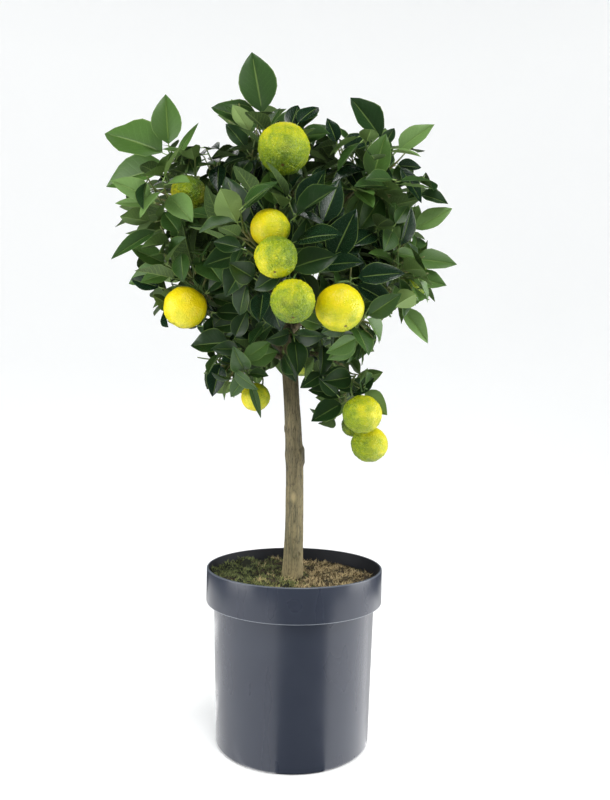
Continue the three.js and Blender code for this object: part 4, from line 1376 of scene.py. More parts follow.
# %% Stalks
STALK_RADII = (1.3, 1.1)
STALK_TILT = (0.55, 0.85)
STALK_SINK = 2.5
STALK_RISE = 12
STALK_ROOTS = (0.3, 0.45, 0.6, 0.75, 0.9)


def grow_stalk(fruit):
    mass = mass_names.index(fruit.mass)
    inward = unit((CROWN_HEART - fruit.centre) * (1, 1, 0))
    fruit.knob = unit(inward * STALK_TILT[0] + UP * STALK_TILT[1])
    socket = fruit.centre + fruit.knob * (fruit.radius - STALK_SINK)
    above = fruit.centre + fruit.knob * (fruit.radius + STALK_RISE)
    near = [twig.course.at(share) for twig in twigs if twig.mass == mass for share in STALK_ROOTS]
    near.sort(key=lambda root: np.linalg.norm(root - above))
    courses = [arch(root, above, socket) for root in near]
    course = next(c for c in courses if twig_fits(c, STALK_RADII[0], mass, math.inf))
    return Twig("stalk", mass, course, STALK_RADII)


stalks = [grow_stalk(fruit) for fruit in fruits]
print("stalks:", len(stalks))

# %% [markdown]
# The plain model stops at the shoots. The side twigs are what this lesson adds, and they stay
# within the same reach. Each turns round its parent by the golden angle, as leaves do, and is
# tried at a few turns until it finds room. The first that fits is kept.

# %% Side twigs
SIDE_RADII = (1.15, 0.75)
SIDE_ROOTS = (0.24, 0.46, 0.66, 0.84)
SIDE_LENGTHS = (24, 44)
SIDE_SPREAD = math.radians(50)
SIDE_LIFT = 0.25
SIDE_SAG = 0.06
SIDE_REACH = 0.74
SIDE_SPACING = 15
SIDE_TRIALS = 4
SIDE_REAIM = 1.3
SIDE_SEED = 41
STEEP = 0.9


def turned_heading(tangent, spread, around):
    """A heading that leans off the tangent by a spread, at an angle round it."""
    sideways = square_to(FRONT if abs(tangent[2]) > STEEP else UP, tangent)
    crossways = np.cross(tangent, sideways)
    ring = sideways * math.cos(around) + crossways * math.sin(around)
    return unit(tangent * math.cos(spread) + ring * math.sin(spread))


def grow_side_twigs(parent, chance, grown):
    """Side twigs turn round their parent by the golden angle and lift towards the light."""
    phase = chance.random() * 2 * math.pi
    for index, share in enumerate(SIDE_ROOTS):
        root = parent.course.at(share)
        length = chance.uniform(*SIDE_LENGTHS)
        for trial in range(SIDE_TRIALS):
            around = phase + index * GOLDEN_ANGLE + trial * SIDE_REAIM
            heading = turned_heading(parent.course.tangent(share), SIDE_SPREAD, around)
            heading = unit(heading + SIDE_LIFT * UP)
            tip = root + heading * length
            depth = np.linalg.norm((tip - mass_centres[parent.mass]) / mass_reaches[parent.mass])
            if depth > SIDE_REACH:
                continue
            if any(np.linalg.norm(twig.tip - tip) < SIDE_SPACING for twig in grown):
                continue
            course = arch(root, root + heading * length * 0.5 - UP * length * SIDE_SAG, tip)
            if not in_sky(course.points) and twig_fits(course, SIDE_RADII[0], parent.mass):
                grown.append(Twig("side", parent.mass, course, SIDE_RADII, parent.tone))
                break


main_twigs = list(twigs)
side_chance = np.random.default_rng(SIDE_SEED)
for parent in main_twigs:
    grow_side_twigs(parent, side_chance, twigs)
print("side twigs:", len(twigs) - len(main_twigs))

# %% [markdown]
# From the front one looks in under the crown, onto wood that bears no mass of its own. On the real
# tree short leafy spurs sit there. Their tips are listed, and each counts to the mass in whose
# space its tip lies, so that the tests for its leaves are the same as for all others.

# %% Spurs
SPUR_LIFT = 8
SPURS = [
    ("trunk", 0.97, (-18, -34, 462)),
    ("trunk", 0.94, (6, -34, 456)),
    ("front", 0.35, (-4, -52, 478)),
    ("front", 0.6, (-38, -56, 492)),
    ("left", 0.3, (-50, -32, 478)),
    ("left", 0.5, (-66, -44, 494)),
    ("right", 0.3, (28, -34, 476)),
    ("right", 0.5, (44, -30, 500)),
    ("low_left", 0.4, (-36, -36, 444)),
    ("hanging_right", 0.4, (26, -34, 452)),
    ("hanging_right", 0.7, (30, -14, 440)),
    ("back_low", 0.35, (8, 40, 466)),
    ("back_low", 0.6, (-30, 50, 476)),
]


def grow_spur(limb, share, tip):
    """A short leafy spur straight on the wood, in the space of whichever mass its tip is in."""
    root = limbs[limb].course.at(share)
    tip = np.array(tip, float)
    margins = [cell_margin(mass, tip[None])[0] for mass in range(len(MASSES))]
    course = arch(root, blend(root, tip, 0.5) + SPUR_LIFT * UP, tip)
    return Twig("spur", int(np.argmax(margins)), course, SIDE_RADII, "deep")


twigs += [grow_spur(*spur) for spur in SPURS]
print("twigs:", len(twigs), "with", len(SPURS), "spurs")

# %% [markdown]
# A leaf is a folded blade on a short stalk. Its surface is flat enough that one formula tells how
# high a point stands over it, so leaves can be tried against each other before any mesh is made.
# They could be objects of a class each. As rows of arrays, one leaf is tried against all the others
# in one step, and that is what makes a thousand leaves quick.

# %% Blades
ACROSS = np.array([-1, -0.5, 0, 0.5, 1])
MIDRIB_AND_EDGES = (0, 2, 4)
GRID_ROWS = 11
LINE_ROWS = range(3, GRID_ROWS)
CROSS_ROWS = (4, 7)
BLADE_TAPER = 0.8
BLADE_FULLNESS = 0.85
MOST_LEAVES = 4000

columns = len(ACROSS)
line_picks = [row * columns + column for column in MIDRIB_AND_EDGES for row in LINE_ROWS]
line_picks += [row * columns + column for row in CROSS_ROWS for column in range(columns)]
line_lengths = [len(LINE_ROWS)] * len(MIDRIB_AND_EDGES) + [columns] * len(CROSS_ROWS)
same_line = np.diff(np.repeat(range(len(line_lengths)), line_lengths)) == 0


def outline(along):
    """The half width of a blade at a share of its length, where 1 is the widest."""
    along = np.clip(along, 0, 1)
    return np.maximum(np.sin(math.pi * along ** BLADE_TAPER), 0) ** BLADE_FULLNESS


class Blades:
    """All leaves as rows of arrays, so that one can be tried against the rest at once."""

    PLACES = ("base", "direction", "normal", "side", "middle")
    NUMBERS = ("length", "half_width", "fold", "bend")

    def __init__(self, most):
        self.count = 0
        for name in self.PLACES:
            setattr(self, name, np.zeros((most, 3)))
        for name in self.NUMBERS:
            setattr(self, name, np.zeros(most))
        self.lines = np.zeros((most, len(line_picks), 3))

    def keep(self, other):
        """Adds the only leaf of another set."""
        for name in (*self.PLACES, *self.NUMBERS, "lines"):
            getattr(self, name)[self.count] = getattr(other, name)[0]
        self.count += 1

    def place(self, base, heading, light, length, width, fold, bend):
        """Puts a leaf in the first row."""
        self.base[0] = base
        self.direction[0] = heading
        self.normal[0] = square_to(light, heading)
        self.side[0] = np.cross(heading, self.normal[0])
        self.length[0] = length
        self.half_width[0] = length * width / 2
        self.fold[0] = fold
        self.bend[0] = bend

    def rise(self, rows, along, across):
        """How high the blade stands over its flat plane: the edges fold up, the tip bends down."""
        width = outline(along) * self.half_width[rows, None]
        fold = np.abs(across) * width * self.fold[rows, None] * 2
        return fold - self.bend[rows, None] * self.length[rows, None] * along ** 2

    def points(self, rows, along, across):
        """Places on the blades of these rows, along and across them."""
        width = outline(along) * self.half_width[rows, None] * across
        return (
            self.base[rows, None]
            + (along * self.length[rows, None])[..., None] * self.direction[rows, None]
            + width[..., None] * self.side[rows, None]
            + self.rise(rows, along, across)[..., None] * self.normal[rows, None]
        )

    def midrib(self, along):
        """The place at a share of the length of the leaf in the first row."""
        return self.points(FIRST_ROW, np.array([[along]]), np.array([[0.0]]))[0, 0]

    def heights(self, rows, points):
        """How high points stand over the blades, and not a number where they lie beside them."""
        away = points - self.base[rows, None]
        along = (away * self.direction[rows, None]).sum(axis=2) / self.length[rows, None]
        width = np.maximum(outline(along) * self.half_width[rows, None], 1e-6)
        across = (away * self.side[rows, None]).sum(axis=2) / width
        height = (away * self.normal[rows, None]).sum(axis=2) - self.rise(rows, along, across)
        return np.where((along <= 0) | (along >= 1) | (np.abs(across) >= 1), np.nan, height)


FIRST_ROW = np.array([0])
grid_along = np.repeat(np.linspace(0, 1, GRID_ROWS), columns)[None]
grid_across = np.tile(ACROSS, GRID_ROWS)[None]
print("each blade is tried by", len(line_picks), "points on", len(line_lengths), "lines")

# %% [markdown]
# Before a leaf is kept it is tried: it has to stay in its mass's space, clear of wood, fruits and
# twigs, and no leaf may pass through another. A test of every face against every other would take
# minutes. Here a few lines are drawn on each blade, and a line of one leaf that changes sides on
# another leaf crosses it.

# %% Room for a leaf
LEAF_NEAR = 0.62
LEAF_TO_LEAF = 0.5
ELBOW_ROOM = 0.12
OVER_THE_BORDER = 20.0
ROOT_FREE = 9


def crosses(heights, joined):
    """Whether lines of points touch a blade or change sides on it, at the steps that are joined."""
    with np.errstate(invalid="ignore"):
        if (np.abs(heights) < LEAF_TO_LEAF).any():
            return True
        return ((heights[:, :-1] * heights[:, 1:] < 0) & joined).any()


def blade_fits(trial, mass, kept, twig_points, twig_joined, may_show):
    """Whether the leaf in trial has room among limbs, fruits, twigs and the leaves kept so far."""
    grid = trial.points(FIRST_ROW, grid_along, grid_across)[0]
    if not may_show and in_sky(grid):
        return False
    if cell_margin(mass, grid).min() < -OVER_THE_BORDER:
        return False
    if hides_fruit(grid) or meets_limb(grid, LEAF_TO_LIMB):
        return False
    trial.lines[0] = grid[line_picks]
    trial.middle[0] = trial.midrib(0.5)
    length = trial.length[0]
    apart = np.linalg.norm(kept.middle[:kept.count] - trial.middle[0], axis=1)
    if (apart < ELBOW_ROOM * length).any():
        return False
    near = np.flatnonzero(apart < LEAF_NEAR * (length + kept.length[:kept.count]))
    if len(near):
        if crosses(kept.heights(near, trial.lines), same_line):
            return False
        theirs = kept.lines[near].reshape(1, -1, 3)
        joined = np.append(np.tile(np.append(same_line, False), len(near)), True)[:theirs.shape[1] - 1]
        if crosses(trial.heights(FIRST_ROW, theirs), joined):
            return False
    heights = trial.heights(FIRST_ROW, twig_points[None])
    heights[0, np.linalg.norm(twig_points - trial.base[0], axis=1) < ROOT_FREE] = np.nan
    return not crosses(heights, twig_joined)


print("leaves keep", LEAF_TO_LEAF, "mm apart")

# %% [markdown]
# A leaf that finds no room turns a little and tries again, as a real one turns to the light. A
# leaf of a leader's fan is aimed by its clock angle in the front view, and swings to either side of
# it. Any other leaf is aimed by its turn round its twig, and turns on, with a steeper spread.

# %% Offered leaves
LEAF_WIDTHS = (0.46, 0.57)
FOLDS = (0.1, 0.3)
BENDS = (0.05, 0.22)
REAIMS = 12
LEAF_OVERREACH = 1.08
LEAF_DROOP = 0.12
WHORL_REAIM = (math.radians(7), 0.9, 0.03)
WHORL_LIGHT = (0.7, 0.6, 0.5)
FAN_ROOT = 0.97
FAN_ROOT_STEP = 0.09
FAN_LEANS = (-0.2, 0.14)
FAN_STRETCH = 1.06
FAN_REAIM = (7, 0.4)
FAN_LIGHT_UP = 0.45
LEAF_SEED = 77

leaf_chance = np.random.default_rng(LEAF_SEED)
leaves = Blades(MOST_LEAVES)
trial_leaf = Blades(1)
leaf_tones = []


def offer_leaf(twig, aim, length, leads=False, narrow=None):
    """Tries a leaf again and again, a little turned each time, and keeps it where it first fits."""
    width = narrow or leaf_chance.uniform(*LEAF_WIDTHS)
    fold = leaf_chance.uniform(*FOLDS)
    bend = leaf_chance.uniform(*BENDS)
    points, joined = lines_near[twig.mass]
    furthest = math.inf if leads or twig.kind == "spur" else LEAF_OVERREACH
    for trial in range(REAIMS):
        base, heading, light = aim(trial)
        shorter = length if leads else length * (1 - WHORL_REAIM[2] * trial)
        trial_leaf.place(base, heading, light, shorter, width, fold, bend)
        tip = trial_leaf.midrib(1.0)
        reach = np.linalg.norm((tip - mass_centres[twig.mass]) / mass_reaches[twig.mass])
        if reach > furthest:
            continue
        if blade_fits(trial_leaf, twig.mass, leaves, points, joined, leads):
            leaves.keep(trial_leaf)
            leaf_tones.append(twig.tone)
            return True
    return False


def fan_aim(twig, index, clock):
    """A leaf of a leader, aimed by its clock angle in the front view."""
    root = twig.course.at(FAN_ROOT - FAN_ROOT_STEP * index)

    def aim(trial):
        sway = FAN_REAIM[0] * math.ceil(trial / 2)
        angle = math.radians(clock + sway if trial % 2 else clock - sway)
        lean = FAN_LEANS[index % 2] * (1 + FAN_REAIM[1] * trial)
        heading = unit(np.array([math.sin(angle), lean, math.cos(angle)]))
        return root, heading, FRONT + FAN_LIGHT_UP * UP

    return aim


def whorl_aim(twig, index, share, spread):
    """A leaf of any twig, aimed by its turn round the twig."""
    root = twig.course.at(share)
    tangent = twig.course.tangent(share)
    outward = unit(root - CROWN_HEART)
    light = outward * WHORL_LIGHT[0] + UP * WHORL_LIGHT[1] + tangent * WHORL_LIGHT[2]

    def aim(trial):
        around = twig.phase + index * GOLDEN_ANGLE + WHORL_REAIM[1] * trial
        heading = turned_heading(tangent, math.radians(spread) + WHORL_REAIM[0] * trial, around)
        return root, unit(heading - LEAF_DROOP * UP), light

    return aim


print("a leaf is tried up to", REAIMS, "times")

# %% [markdown]
# Leaves deep in the crown get dark, glossy tones, partly their own deeper green and partly painted
# shade, and those on the outside lighter ones. Each leaf could draw its own tone, but on the tree a
# whole spray shares one, and so it does here, with some side twigs for exceptions. How far out a
# twig's tip lies says how much sun it gets.

# %% Tones of the twigs
TONES = ["glossy", "deep", "full", "mid", "bright", "young"]
SHADE_TONES = np.array([0.5, 0.38, 0.12, 0.0, 0.0, 0.0])
SUN_TONES = np.array([0.2, 0.28, 0.3, 0.15, 0.06, 0.01])
CROWN_REACH = (205, 175, 205)
SUN_GAIN = 2.2
EXCEPTIONS = 0.4

for twig in twigs:
    twig.phase = leaf_chance.random() * 2 * math.pi
    outwardness = np.linalg.norm((twig.tip - CROWN_HEART) / CROWN_REACH)
    # Painted shade, in part: twigs deep in the crown draw darker leaf tones.
    shares = blend(SHADE_TONES, SUN_TONES, np.clip(outwardness * SUN_GAIN - 1, 0, 1))
    drawn_tone = leaf_chance.choice(TONES, p=shares / shares.sum())
    if not twig.tone or (twig.kind == "side" and leaf_chance.random() < EXCEPTIONS):
        twig.tone = str(drawn_tone)
print("tones:", {tone: sum(twig.tone == tone for twig in twigs) for tone in TONES})

# %% [markdown]
# Now the leaves grow. The leaders' fans come first, because they draw the crown's outline. A side
# twig that would pierce one of their leaves goes. Then every twig offers its leaves from the tip
# down, the first leaf of each twig before the second of any, so that they are even on all sides.

# %% Leaves
NEIGHBOURS = 170
LINE_STEP = 6
PIERCE_STEP = 3
WHORLS = {
    "shoot": [(0.96, 8), (0.87, 38), (0.76, 48), (0.64, 56), (0.52, 62), (0.4, 68), (0.28, 74)],
    "side": [(0.98, 10), (0.86, 44), (0.7, 54), (0.54, 62), (0.36, 70)],
    "stem": [(0.98, 20), (0.8, 55), (0.62, 62), (0.45, 68)],
    "spur": [(0.98, 16), (0.86, 48), (0.7, 58), (0.5, 66)],
}
LEAF_LENGTHS = {"stem": 57, "shoot": 62, "side": 57, "spur": 46}
LEAF_SPAN = (0.8, 1.16)


def twig_lines(mass, grown):
    """Points along every twig near a mass, and which of them follow each other on one twig."""
    points, joined = [], []
    for twig in grown:
        if twig.mass == mass or mass_apart[mass, twig.mass] < NEIGHBOURS:
            line = twig.course.every(LINE_STEP)
            points.append(line)
            joined += [True] * (len(line) - 1) + [False]
    return np.concatenate(points), np.array(joined[:-1])


def pierces(twig):
    """Whether a twig goes through one of the leaves kept so far."""
    line = twig.course.every(PIERCE_STEP)[2:]
    return crosses(leaves.heights(np.arange(leaves.count), line[None]), np.full(len(line) - 1, True))


lasting = [twig for twig in [*twigs, *stalks] if twig.kind != "side"]
lines_near = [twig_lines(mass, lasting) for mass in range(len(MASSES))]
for twig in twigs:
    for index, (clock, length, *narrow) in enumerate(twig.fan):
        offer_leaf(twig, fan_aim(twig, index, clock), length * FAN_STRETCH, True, *narrow)
fan_leaves = leaves.count
twigs = [twig for twig in twigs if twig.kind != "side" or not pierces(twig)]
lines_near = [twig_lines(mass, [*twigs, *stalks]) for mass in range(len(MASSES))]

for index in range(len(WHORLS["shoot"])):
    for twig in twigs:
        if index >= len(WHORLS[twig.kind]) or (index < 2 and twig.fan):
            continue
        share, spread = WHORLS[twig.kind][index]
        length = LEAF_LENGTHS[twig.kind] * leaf_chance.uniform(*LEAF_SPAN)
        offer_leaf(twig, whorl_aim(twig, index, share, spread), length)
print("leaves:", leaves.count, "of which", fan_leaves, "on the leaders")

# %% [markdown]
# The mesh of a leaf is one pattern of 67 small faces that is bent to each leaf's own shape: a
# blade with an upper and an under skin that meet at the edge, and a three-sided stalk. All leaves
# of a tone are made at once from arrays. They share one flat layout of the pattern, the upper skin
# in its left half and the under skin in its right, so that ribs and veins are drawn on all alike.

# %% Leaf pattern
BLADE_STEPS = 8
STALK_SIDES = 3
UPPER_MIDDLE = 0.25
UNDER_MIDDLE = 0.75
PATTERN_HALF = 0.23
PATTERN_FOOT = 0.08
PATTERN_LENGTH = 0.9
STALK_PATCH_HALF = 0.01
STALK_PATCH = (0.01, 0.06)

pattern_along, pattern_across, pattern_layer = [0.0, 1.0], [0.0, 0.0], [0, 0]
upper, under = {}, {}
for step in range(1, BLADE_STEPS):
    for column, across in enumerate(ACROSS):
        upper[step, column] = under[step, column] = len(pattern_along)
        pattern_along.append(step / BLADE_STEPS)
        pattern_across.append(across)
        pattern_layer.append(0 if abs(across) == 1 else 1)
    for column in (1, 2, 3):
        under[step, column] = len(pattern_along)
        pattern_along.append(step / BLADE_STEPS)
        pattern_across.append(ACROSS[column])
        pattern_layer.append(-1)
pattern_along = np.array(pattern_along)
pattern_across = np.array(pattern_across)
pattern_layer = np.array(pattern_layer)

pattern_faces, pattern_slots, pattern_uv = [], [], []


def layout_spot(vertex, across, middle):
    """Where a point of the pattern lies on the flat layout."""
    return (middle + PATTERN_HALF * across, PATTERN_FOOT + PATTERN_LENGTH * pattern_along[vertex])


def add_face(face, spots, slot, flipped):
    """A flipped face keeps its first corner, so that both skins split along the same diagonal."""
    order = [0, *range(len(face) - 1, 0, -1)] if flipped else range(len(face))
    pattern_faces.append([face[k] for k in order])
    pattern_uv.extend(spots[k] for k in order)
    pattern_slots.append(slot)


def add_skin(skin, slot, middle, flipped):
    """Four strips of faces. The root and the tip lie under the middle of each face that meets them."""
    last = BLADE_STEPS - 1
    for column in range(columns - 1):
        halfway = (ACROSS[column] + ACROSS[column + 1]) / 2
        root_face = [0, skin[1, column + 1], skin[1, column]]
        tip_face = [1, skin[last, column], skin[last, column + 1]]
        for face in (root_face, tip_face):
            spots = [layout_spot(face[0], halfway, middle)]
            spots += [layout_spot(v, pattern_across[v], middle) for v in face[1:]]
            add_face(face, spots, slot, flipped)
        for step in range(1, last):
            face = [skin[step + up, column + over] for up, over in ((0, 0), (0, 1), (1, 1), (1, 0))]
            add_face(face, [layout_spot(v, pattern_across[v], middle) for v in face], slot, flipped)


add_skin(upper, 0, UPPER_MIDDLE, False)
add_skin(under, 1, UNDER_MIDDLE, True)
patch_low, patch_high = STALK_PATCH
patch_left = UNDER_MIDDLE - STALK_PATCH_HALF
patch_right = UNDER_MIDDLE + STALK_PATCH_HALF
stalk_spots = [(patch_left, patch_low), (patch_right, patch_low)]
stalk_spots += [(patch_right, patch_high), (patch_left, patch_high)]
for corner in range(STALK_SIDES):
    after = (corner + 1) % STALK_SIDES
    ring_corners = [corner, after, STALK_SIDES + after, STALK_SIDES + corner]
    add_face([len(pattern_along) + k for k in ring_corners], stalk_spots, 1, False)
print("leaf pattern:", len(pattern_faces), "faces")

# %% [markdown]
# No two leaves are alike. Each draws its own twist, sway, waves and taper, and those of the fans
# are calmer, so that they keep to the outline. They could be shaped one by one. In arrays with a
# row for each leaf and a column for each point of the pattern, all of them take their shape at once.

# %% Leaf shapes
LEAF_STALK = 0.13
STALK_OVERLAP = 0.03
STALK_WIDTHS = (0.85, 0.6)
BLADE_THICKNESS = 0.3
RIB_HEIGHT = 0.55
HALF_CROWN = 0.05
TWISTS = (-0.35, 0.35)
SWAYS = (-0.06, 0.06)
WAVES = (0.0, 0.07)
WAVES_ALONG = 2.3
WAVE_SLANT = 1.4
TAPERS = (0.72, 0.92)
FULLNESS = 0.9
FAN_CALM = 0.35

count = leaves.count
shape_chance = np.random.default_rng(LEAF_SEED + 1)
twist = shape_chance.uniform(*TWISTS, count)[:, None]
sway = shape_chance.uniform(*SWAYS, count)[:, None]
wave = shape_chance.uniform(*WAVES, count)[:, None]
wave_phase = shape_chance.uniform(0, 2 * math.pi, count)[:, None]
taper = shape_chance.uniform(*TAPERS, count)[:, None]
twist[:fan_leaves] *= FAN_CALM
sway[:fan_leaves] *= FAN_CALM
base = leaves.base[:count, None]
direction = leaves.direction[:count, None]
side = leaves.side[:count, None]
normal = leaves.normal[:count, None]
length = leaves.length[:count, None]
half = leaves.half_width[:count, None]
fold = leaves.fold[:count, None]
bend = leaves.bend[:count, None]


def leaf_frame(along):
    """The side and normal of each leaf at shares of its length, after its twist."""
    turn = (twist * along)[..., None]
    turned_side = side * np.cos(turn) + normal * np.sin(turn)
    turned_normal = normal * np.cos(turn) - side * np.sin(turn)
    return turned_side, turned_normal


def midline(along):
    """The middle line of each leaf: it bends down and sways to one side towards the tip."""
    down = bend * length * along ** 2
    aside = sway * length * along ** 2
    ahead = base + (along * length)[..., None] * direction
    return ahead + aside[..., None] * side - down[..., None] * normal


blade_along = LEAF_STALK + (1 - LEAF_STALK) * pattern_along[None]
blade_half = np.maximum(np.sin(math.pi * pattern_along ** taper), 0) ** FULLNESS * half
blade_side, blade_normal = leaf_frame(blade_along)
edge = np.abs(pattern_across)[None]
wave_turn = pattern_along * WAVES_ALONG * 2 * math.pi + wave_phase + pattern_across * WAVE_SLANT
ripple = wave * half * np.sin(wave_turn) * edge ** 2
crown = HALF_CROWN * half * 4 * edge * (1 - edge)
thick = pattern_layer * np.where(pattern_across == 0, 0.5, 1.0) * BLADE_THICKNESS / 2
ribs = np.where((pattern_across == 0) & (pattern_layer < 0), RIB_HEIGHT * (1 - pattern_along), 0)
lift = edge * blade_half * fold * 2 + ripple + crown + thick - ribs
blade_points = (
    midline(blade_along)
    + (pattern_across * blade_half)[..., None] * blade_side
    + lift[..., None] * blade_normal
)
stalk_points = []
for share, width in zip((0.0, LEAF_STALK + STALK_OVERLAP), STALK_WIDTHS):
    where = np.array([[share]])
    stalk_side, stalk_normal = leaf_frame(where)
    for corner in range(STALK_SIDES):
        angle = 2 * math.pi * corner / STALK_SIDES + math.pi / 2
        ring = stalk_side * math.cos(angle) + stalk_normal * math.sin(angle)
        stalk_points.append(midline(where) + width * ring)
all_points = np.concatenate([blade_points, *stalk_points], axis=1) * MM
print("leaf points:", all_points.shape[0], "leaves with", all_points.shape[1], "points each")

# %% [markdown]
# A citrus leaf is leathery: the upper skin glossy and darker, with a pale midrib, faint side
# veins and a thin light margin, the under skin matt and pale. Six tones are enough, from the dark
# leaves in the shade, whose darkness is partly painted shade, to the yellow-green young ones. The
# veins are drawn on the shared layout.

# %% Leaf finishes
PATTERN_MAP = "OFBake"
LEAF_TONES = {
    "glossy": (colour(17, 38, 21), colour(28, 54, 30), colour(50, 74, 38), 0.2),
    "deep": (colour(26, 50, 20), colour(40, 68, 29), colour(66, 92, 46), 0.26),
    "full": (colour(44, 72, 27), colour(58, 90, 38), colour(84, 112, 56), 0.32),
    "mid": (colour(66, 98, 38), colour(82, 116, 50), colour(104, 134, 70), 0.37),
    "bright": (colour(94, 126, 62), colour(112, 144, 78), colour(128, 154, 90), 0.42),
    "young": (colour(122, 154, 74), colour(142, 172, 92), colour(152, 180, 110), 0.44),
}
RIB = colour(128, 154, 80)
LEAF_SHINE = {"Specular IOR Level": 0.38}
RIB_EDGE = (0.02, 0.07)
MARGIN_EDGE = (0.93, 0.99)
VEINS_ALONG = 9.0
VEIN_SLANT = 2.4
VEIN_EDGE = (0.0, 0.13)
VEINS_END = (0.7, 0.95)


def leaf_finish(name, ground, vein, roughness, middle, rib_share, relief):
    """A finish for one skin of a leaf, drawn on the layout round its middle."""
    skin = Finish(name, roughness, plain=LEAF_SHINE)
    spot = skin.node("ShaderNodeUVMap", {"uv_map": PATTERN_MAP}, ())
    across = skin.node("ShaderNodeSeparateXYZ", {}, {0: spot}, output=0)
    along = skin.node("ShaderNodeSeparateXYZ", {}, {0: spot}, output=1)
    across = ((across - middle) / PATTERN_HALF).size()
    along = (along - PATTERN_FOOT) / PATTERN_LENGTH
    wobble = skin.clouds(spot, scale=7, detail=2)
    phase = along * VEINS_ALONG - across * VEIN_SLANT + wobble * 0.5
    to_vein = skin.node("ShaderNodeMath", {"operation": "PINGPONG"}, {0: phase, 1: 0.5})
    veins = (1 - to_vein.fade(*VEIN_EDGE)) * (1 - across.fade(*VEINS_END))
    rib = 1 - across.fade(*RIB_EDGE)
    margin = across.fade(*MARGIN_EDGE)
    cells = skin.clouds(spot, scale=60, detail=3)
    ground = skin.mix(cells.fade(0.35, 0.7) * 0.35, ground, vein)
    ground = skin.mix(veins * 0.3, ground, vein)
    ground = skin.mix(margin * 0.5, ground, RIB)
    skin.feed("Base Color", skin.mix(rib * rib_share, ground, RIB))
    skin.feed("Roughness", roughness + 0.12 * cells)
    skin.bumps(cells * 0.3 - veins * 0.16 * relief - rib * 0.5 * relief, depth=0.0005)
    return skin.material


leaf_finishes = {}
for tone, (ground, vein, under_ground, roughness) in LEAF_TONES.items():
    leaf_finishes[tone] = [
        leaf_finish("leaf_" + tone, ground, vein, roughness, UPPER_MIDDLE, 0.5, 1.0),
        leaf_finish("under_" + tone, under_ground, RIB, 0.62, UNDER_MIDDLE, 0.7, -1.0),
    ]
print("leaf finishes:", 2 * len(leaf_finishes))

# %% [markdown]
# All leaves of a tone become one piece. A thousand small objects would do as well, but six are
# easier to handle, and the pattern with its flat layout is just repeated for each leaf. Faces that
# meet at less than the smooth angle are shaded as one, so only the margins stay sharp.

# %% Leaf pieces
SMOOTH_ANGLE = math.radians(28)


def leaf_piece(name, rows, materials):
    """All leaves of some rows as one mesh with the shared pattern."""
    points = all_points[rows]
    per_leaf = points.shape[1]
    corners = [[v + per_leaf * k for v in face] for k in range(len(rows)) for face in pattern_faces]
    slots = np.tile(pattern_slots, len(rows))
    piece = joined_mesh(name, points.reshape(-1, 3), corners, slots, materials)
    layer = piece.data.uv_layers.new(name=PATTERN_MAP)
    layer.data.foreach_set("uv", np.tile(pattern_uv, (len(rows), 1)).ravel())
    take(piece)
    bpy.ops.object.shade_smooth_by_angle(angle=SMOOTH_ANGLE)
    return piece


leaf_pieces = []
for tone in TONES:
    rows = [row for row in range(leaves.count) if leaf_tones[row] == tone]
    leaf_pieces.append(leaf_piece("leaves_" + tone, rows, leaf_finishes[tone]))
    print("leaves of tone", tone, len(rows))

# %% [markdown]
# Twigs are thick curves too, like the limbs, but with few sides: they are thin and there are
# hundreds. The stems are woody and take the bark's colours, the shoots and side twigs are young
# and green, and so are the stalks. A curve made a mesh joins them all in one step.

# %% Twig meshes
TWIG_ROUNDNESS = 1
TWIG_STEP = 5.0
KNOTS = 0.18
KNOTS_PER_MM = 0.13


def drawn_twig(twig):
    """Points and radii of a twig in metres, thicker and thinner by a noise."""
    points = twig.course.every(TWIG_STEP)
    knots = [1 + KNOTS * noise.noise(Vector(point) * KNOTS_PER_MM) for point in points]
    shares = np.linspace(0, 1, len(points))
    radii = [blend(*twig.radii, share) * knot for share, knot in zip(shares, knots)]
    return points * MM, np.array(radii) * MM


drawn_stems = [drawn_twig(twig) for twig in twigs if twig.kind == "stem"]
stems = limb_piece("twigs_woody", drawn_stems, TWIG_ROUNDNESS)
bpy.ops.object.shade_smooth()
drawn_shoots = [drawn_twig(twig) for twig in [*twigs, *stalks] if twig.kind != "stem"]
shoots_green = limb_piece("twigs_green", drawn_shoots, TWIG_ROUNDNESS)
bpy.ops.object.shade_smooth()

woody = Finish("woody_twig", roughness=0.75)
stripe = woody.clouds(woody.places((1, 1, 0.3)), scale=700, detail=3)
woody.feed("Base Color", woody.mix(stripe.fade(0.4, 0.65), colour(92, 96, 58), colour(134, 124, 86)))
woody.bumps(stripe, depth=0.0004)
woody.paint(stems)

young = Finish("green_twig", roughness=0.5)
age = young.clouds(young.places(), scale=34, detail=3)
fleck = young.clouds(young.places(), scale=900, detail=2)
bark_green = young.mix(age.fade(0.4, 0.66), colour(74, 104, 44), colour(112, 112, 62))
young.feed("Base Color", young.mix(fleck.fade(0.6, 0.75) * 0.5, bark_green, colour(138, 142, 88)))
young.bumps(fleck, depth=0.0002)
young.paint(shoots_green)
print("twigs:", len(stems.data.polygons) + len(shoots_green.data.polygons), "faces")

# %% [markdown]
# The fruits are round, a little flatter than a ball, with a pebbled rind full of oil glands. Most
# are ripening: yellow with a greener, darker side, partly the rind's own green and partly painted
# shade. One ball is added for each, divided finely, and its points are moved by a noise for the
# pebbles and by two dimples, at the stalk and opposite it. How green each point is goes into an
# attribute that the rind's colour reads.

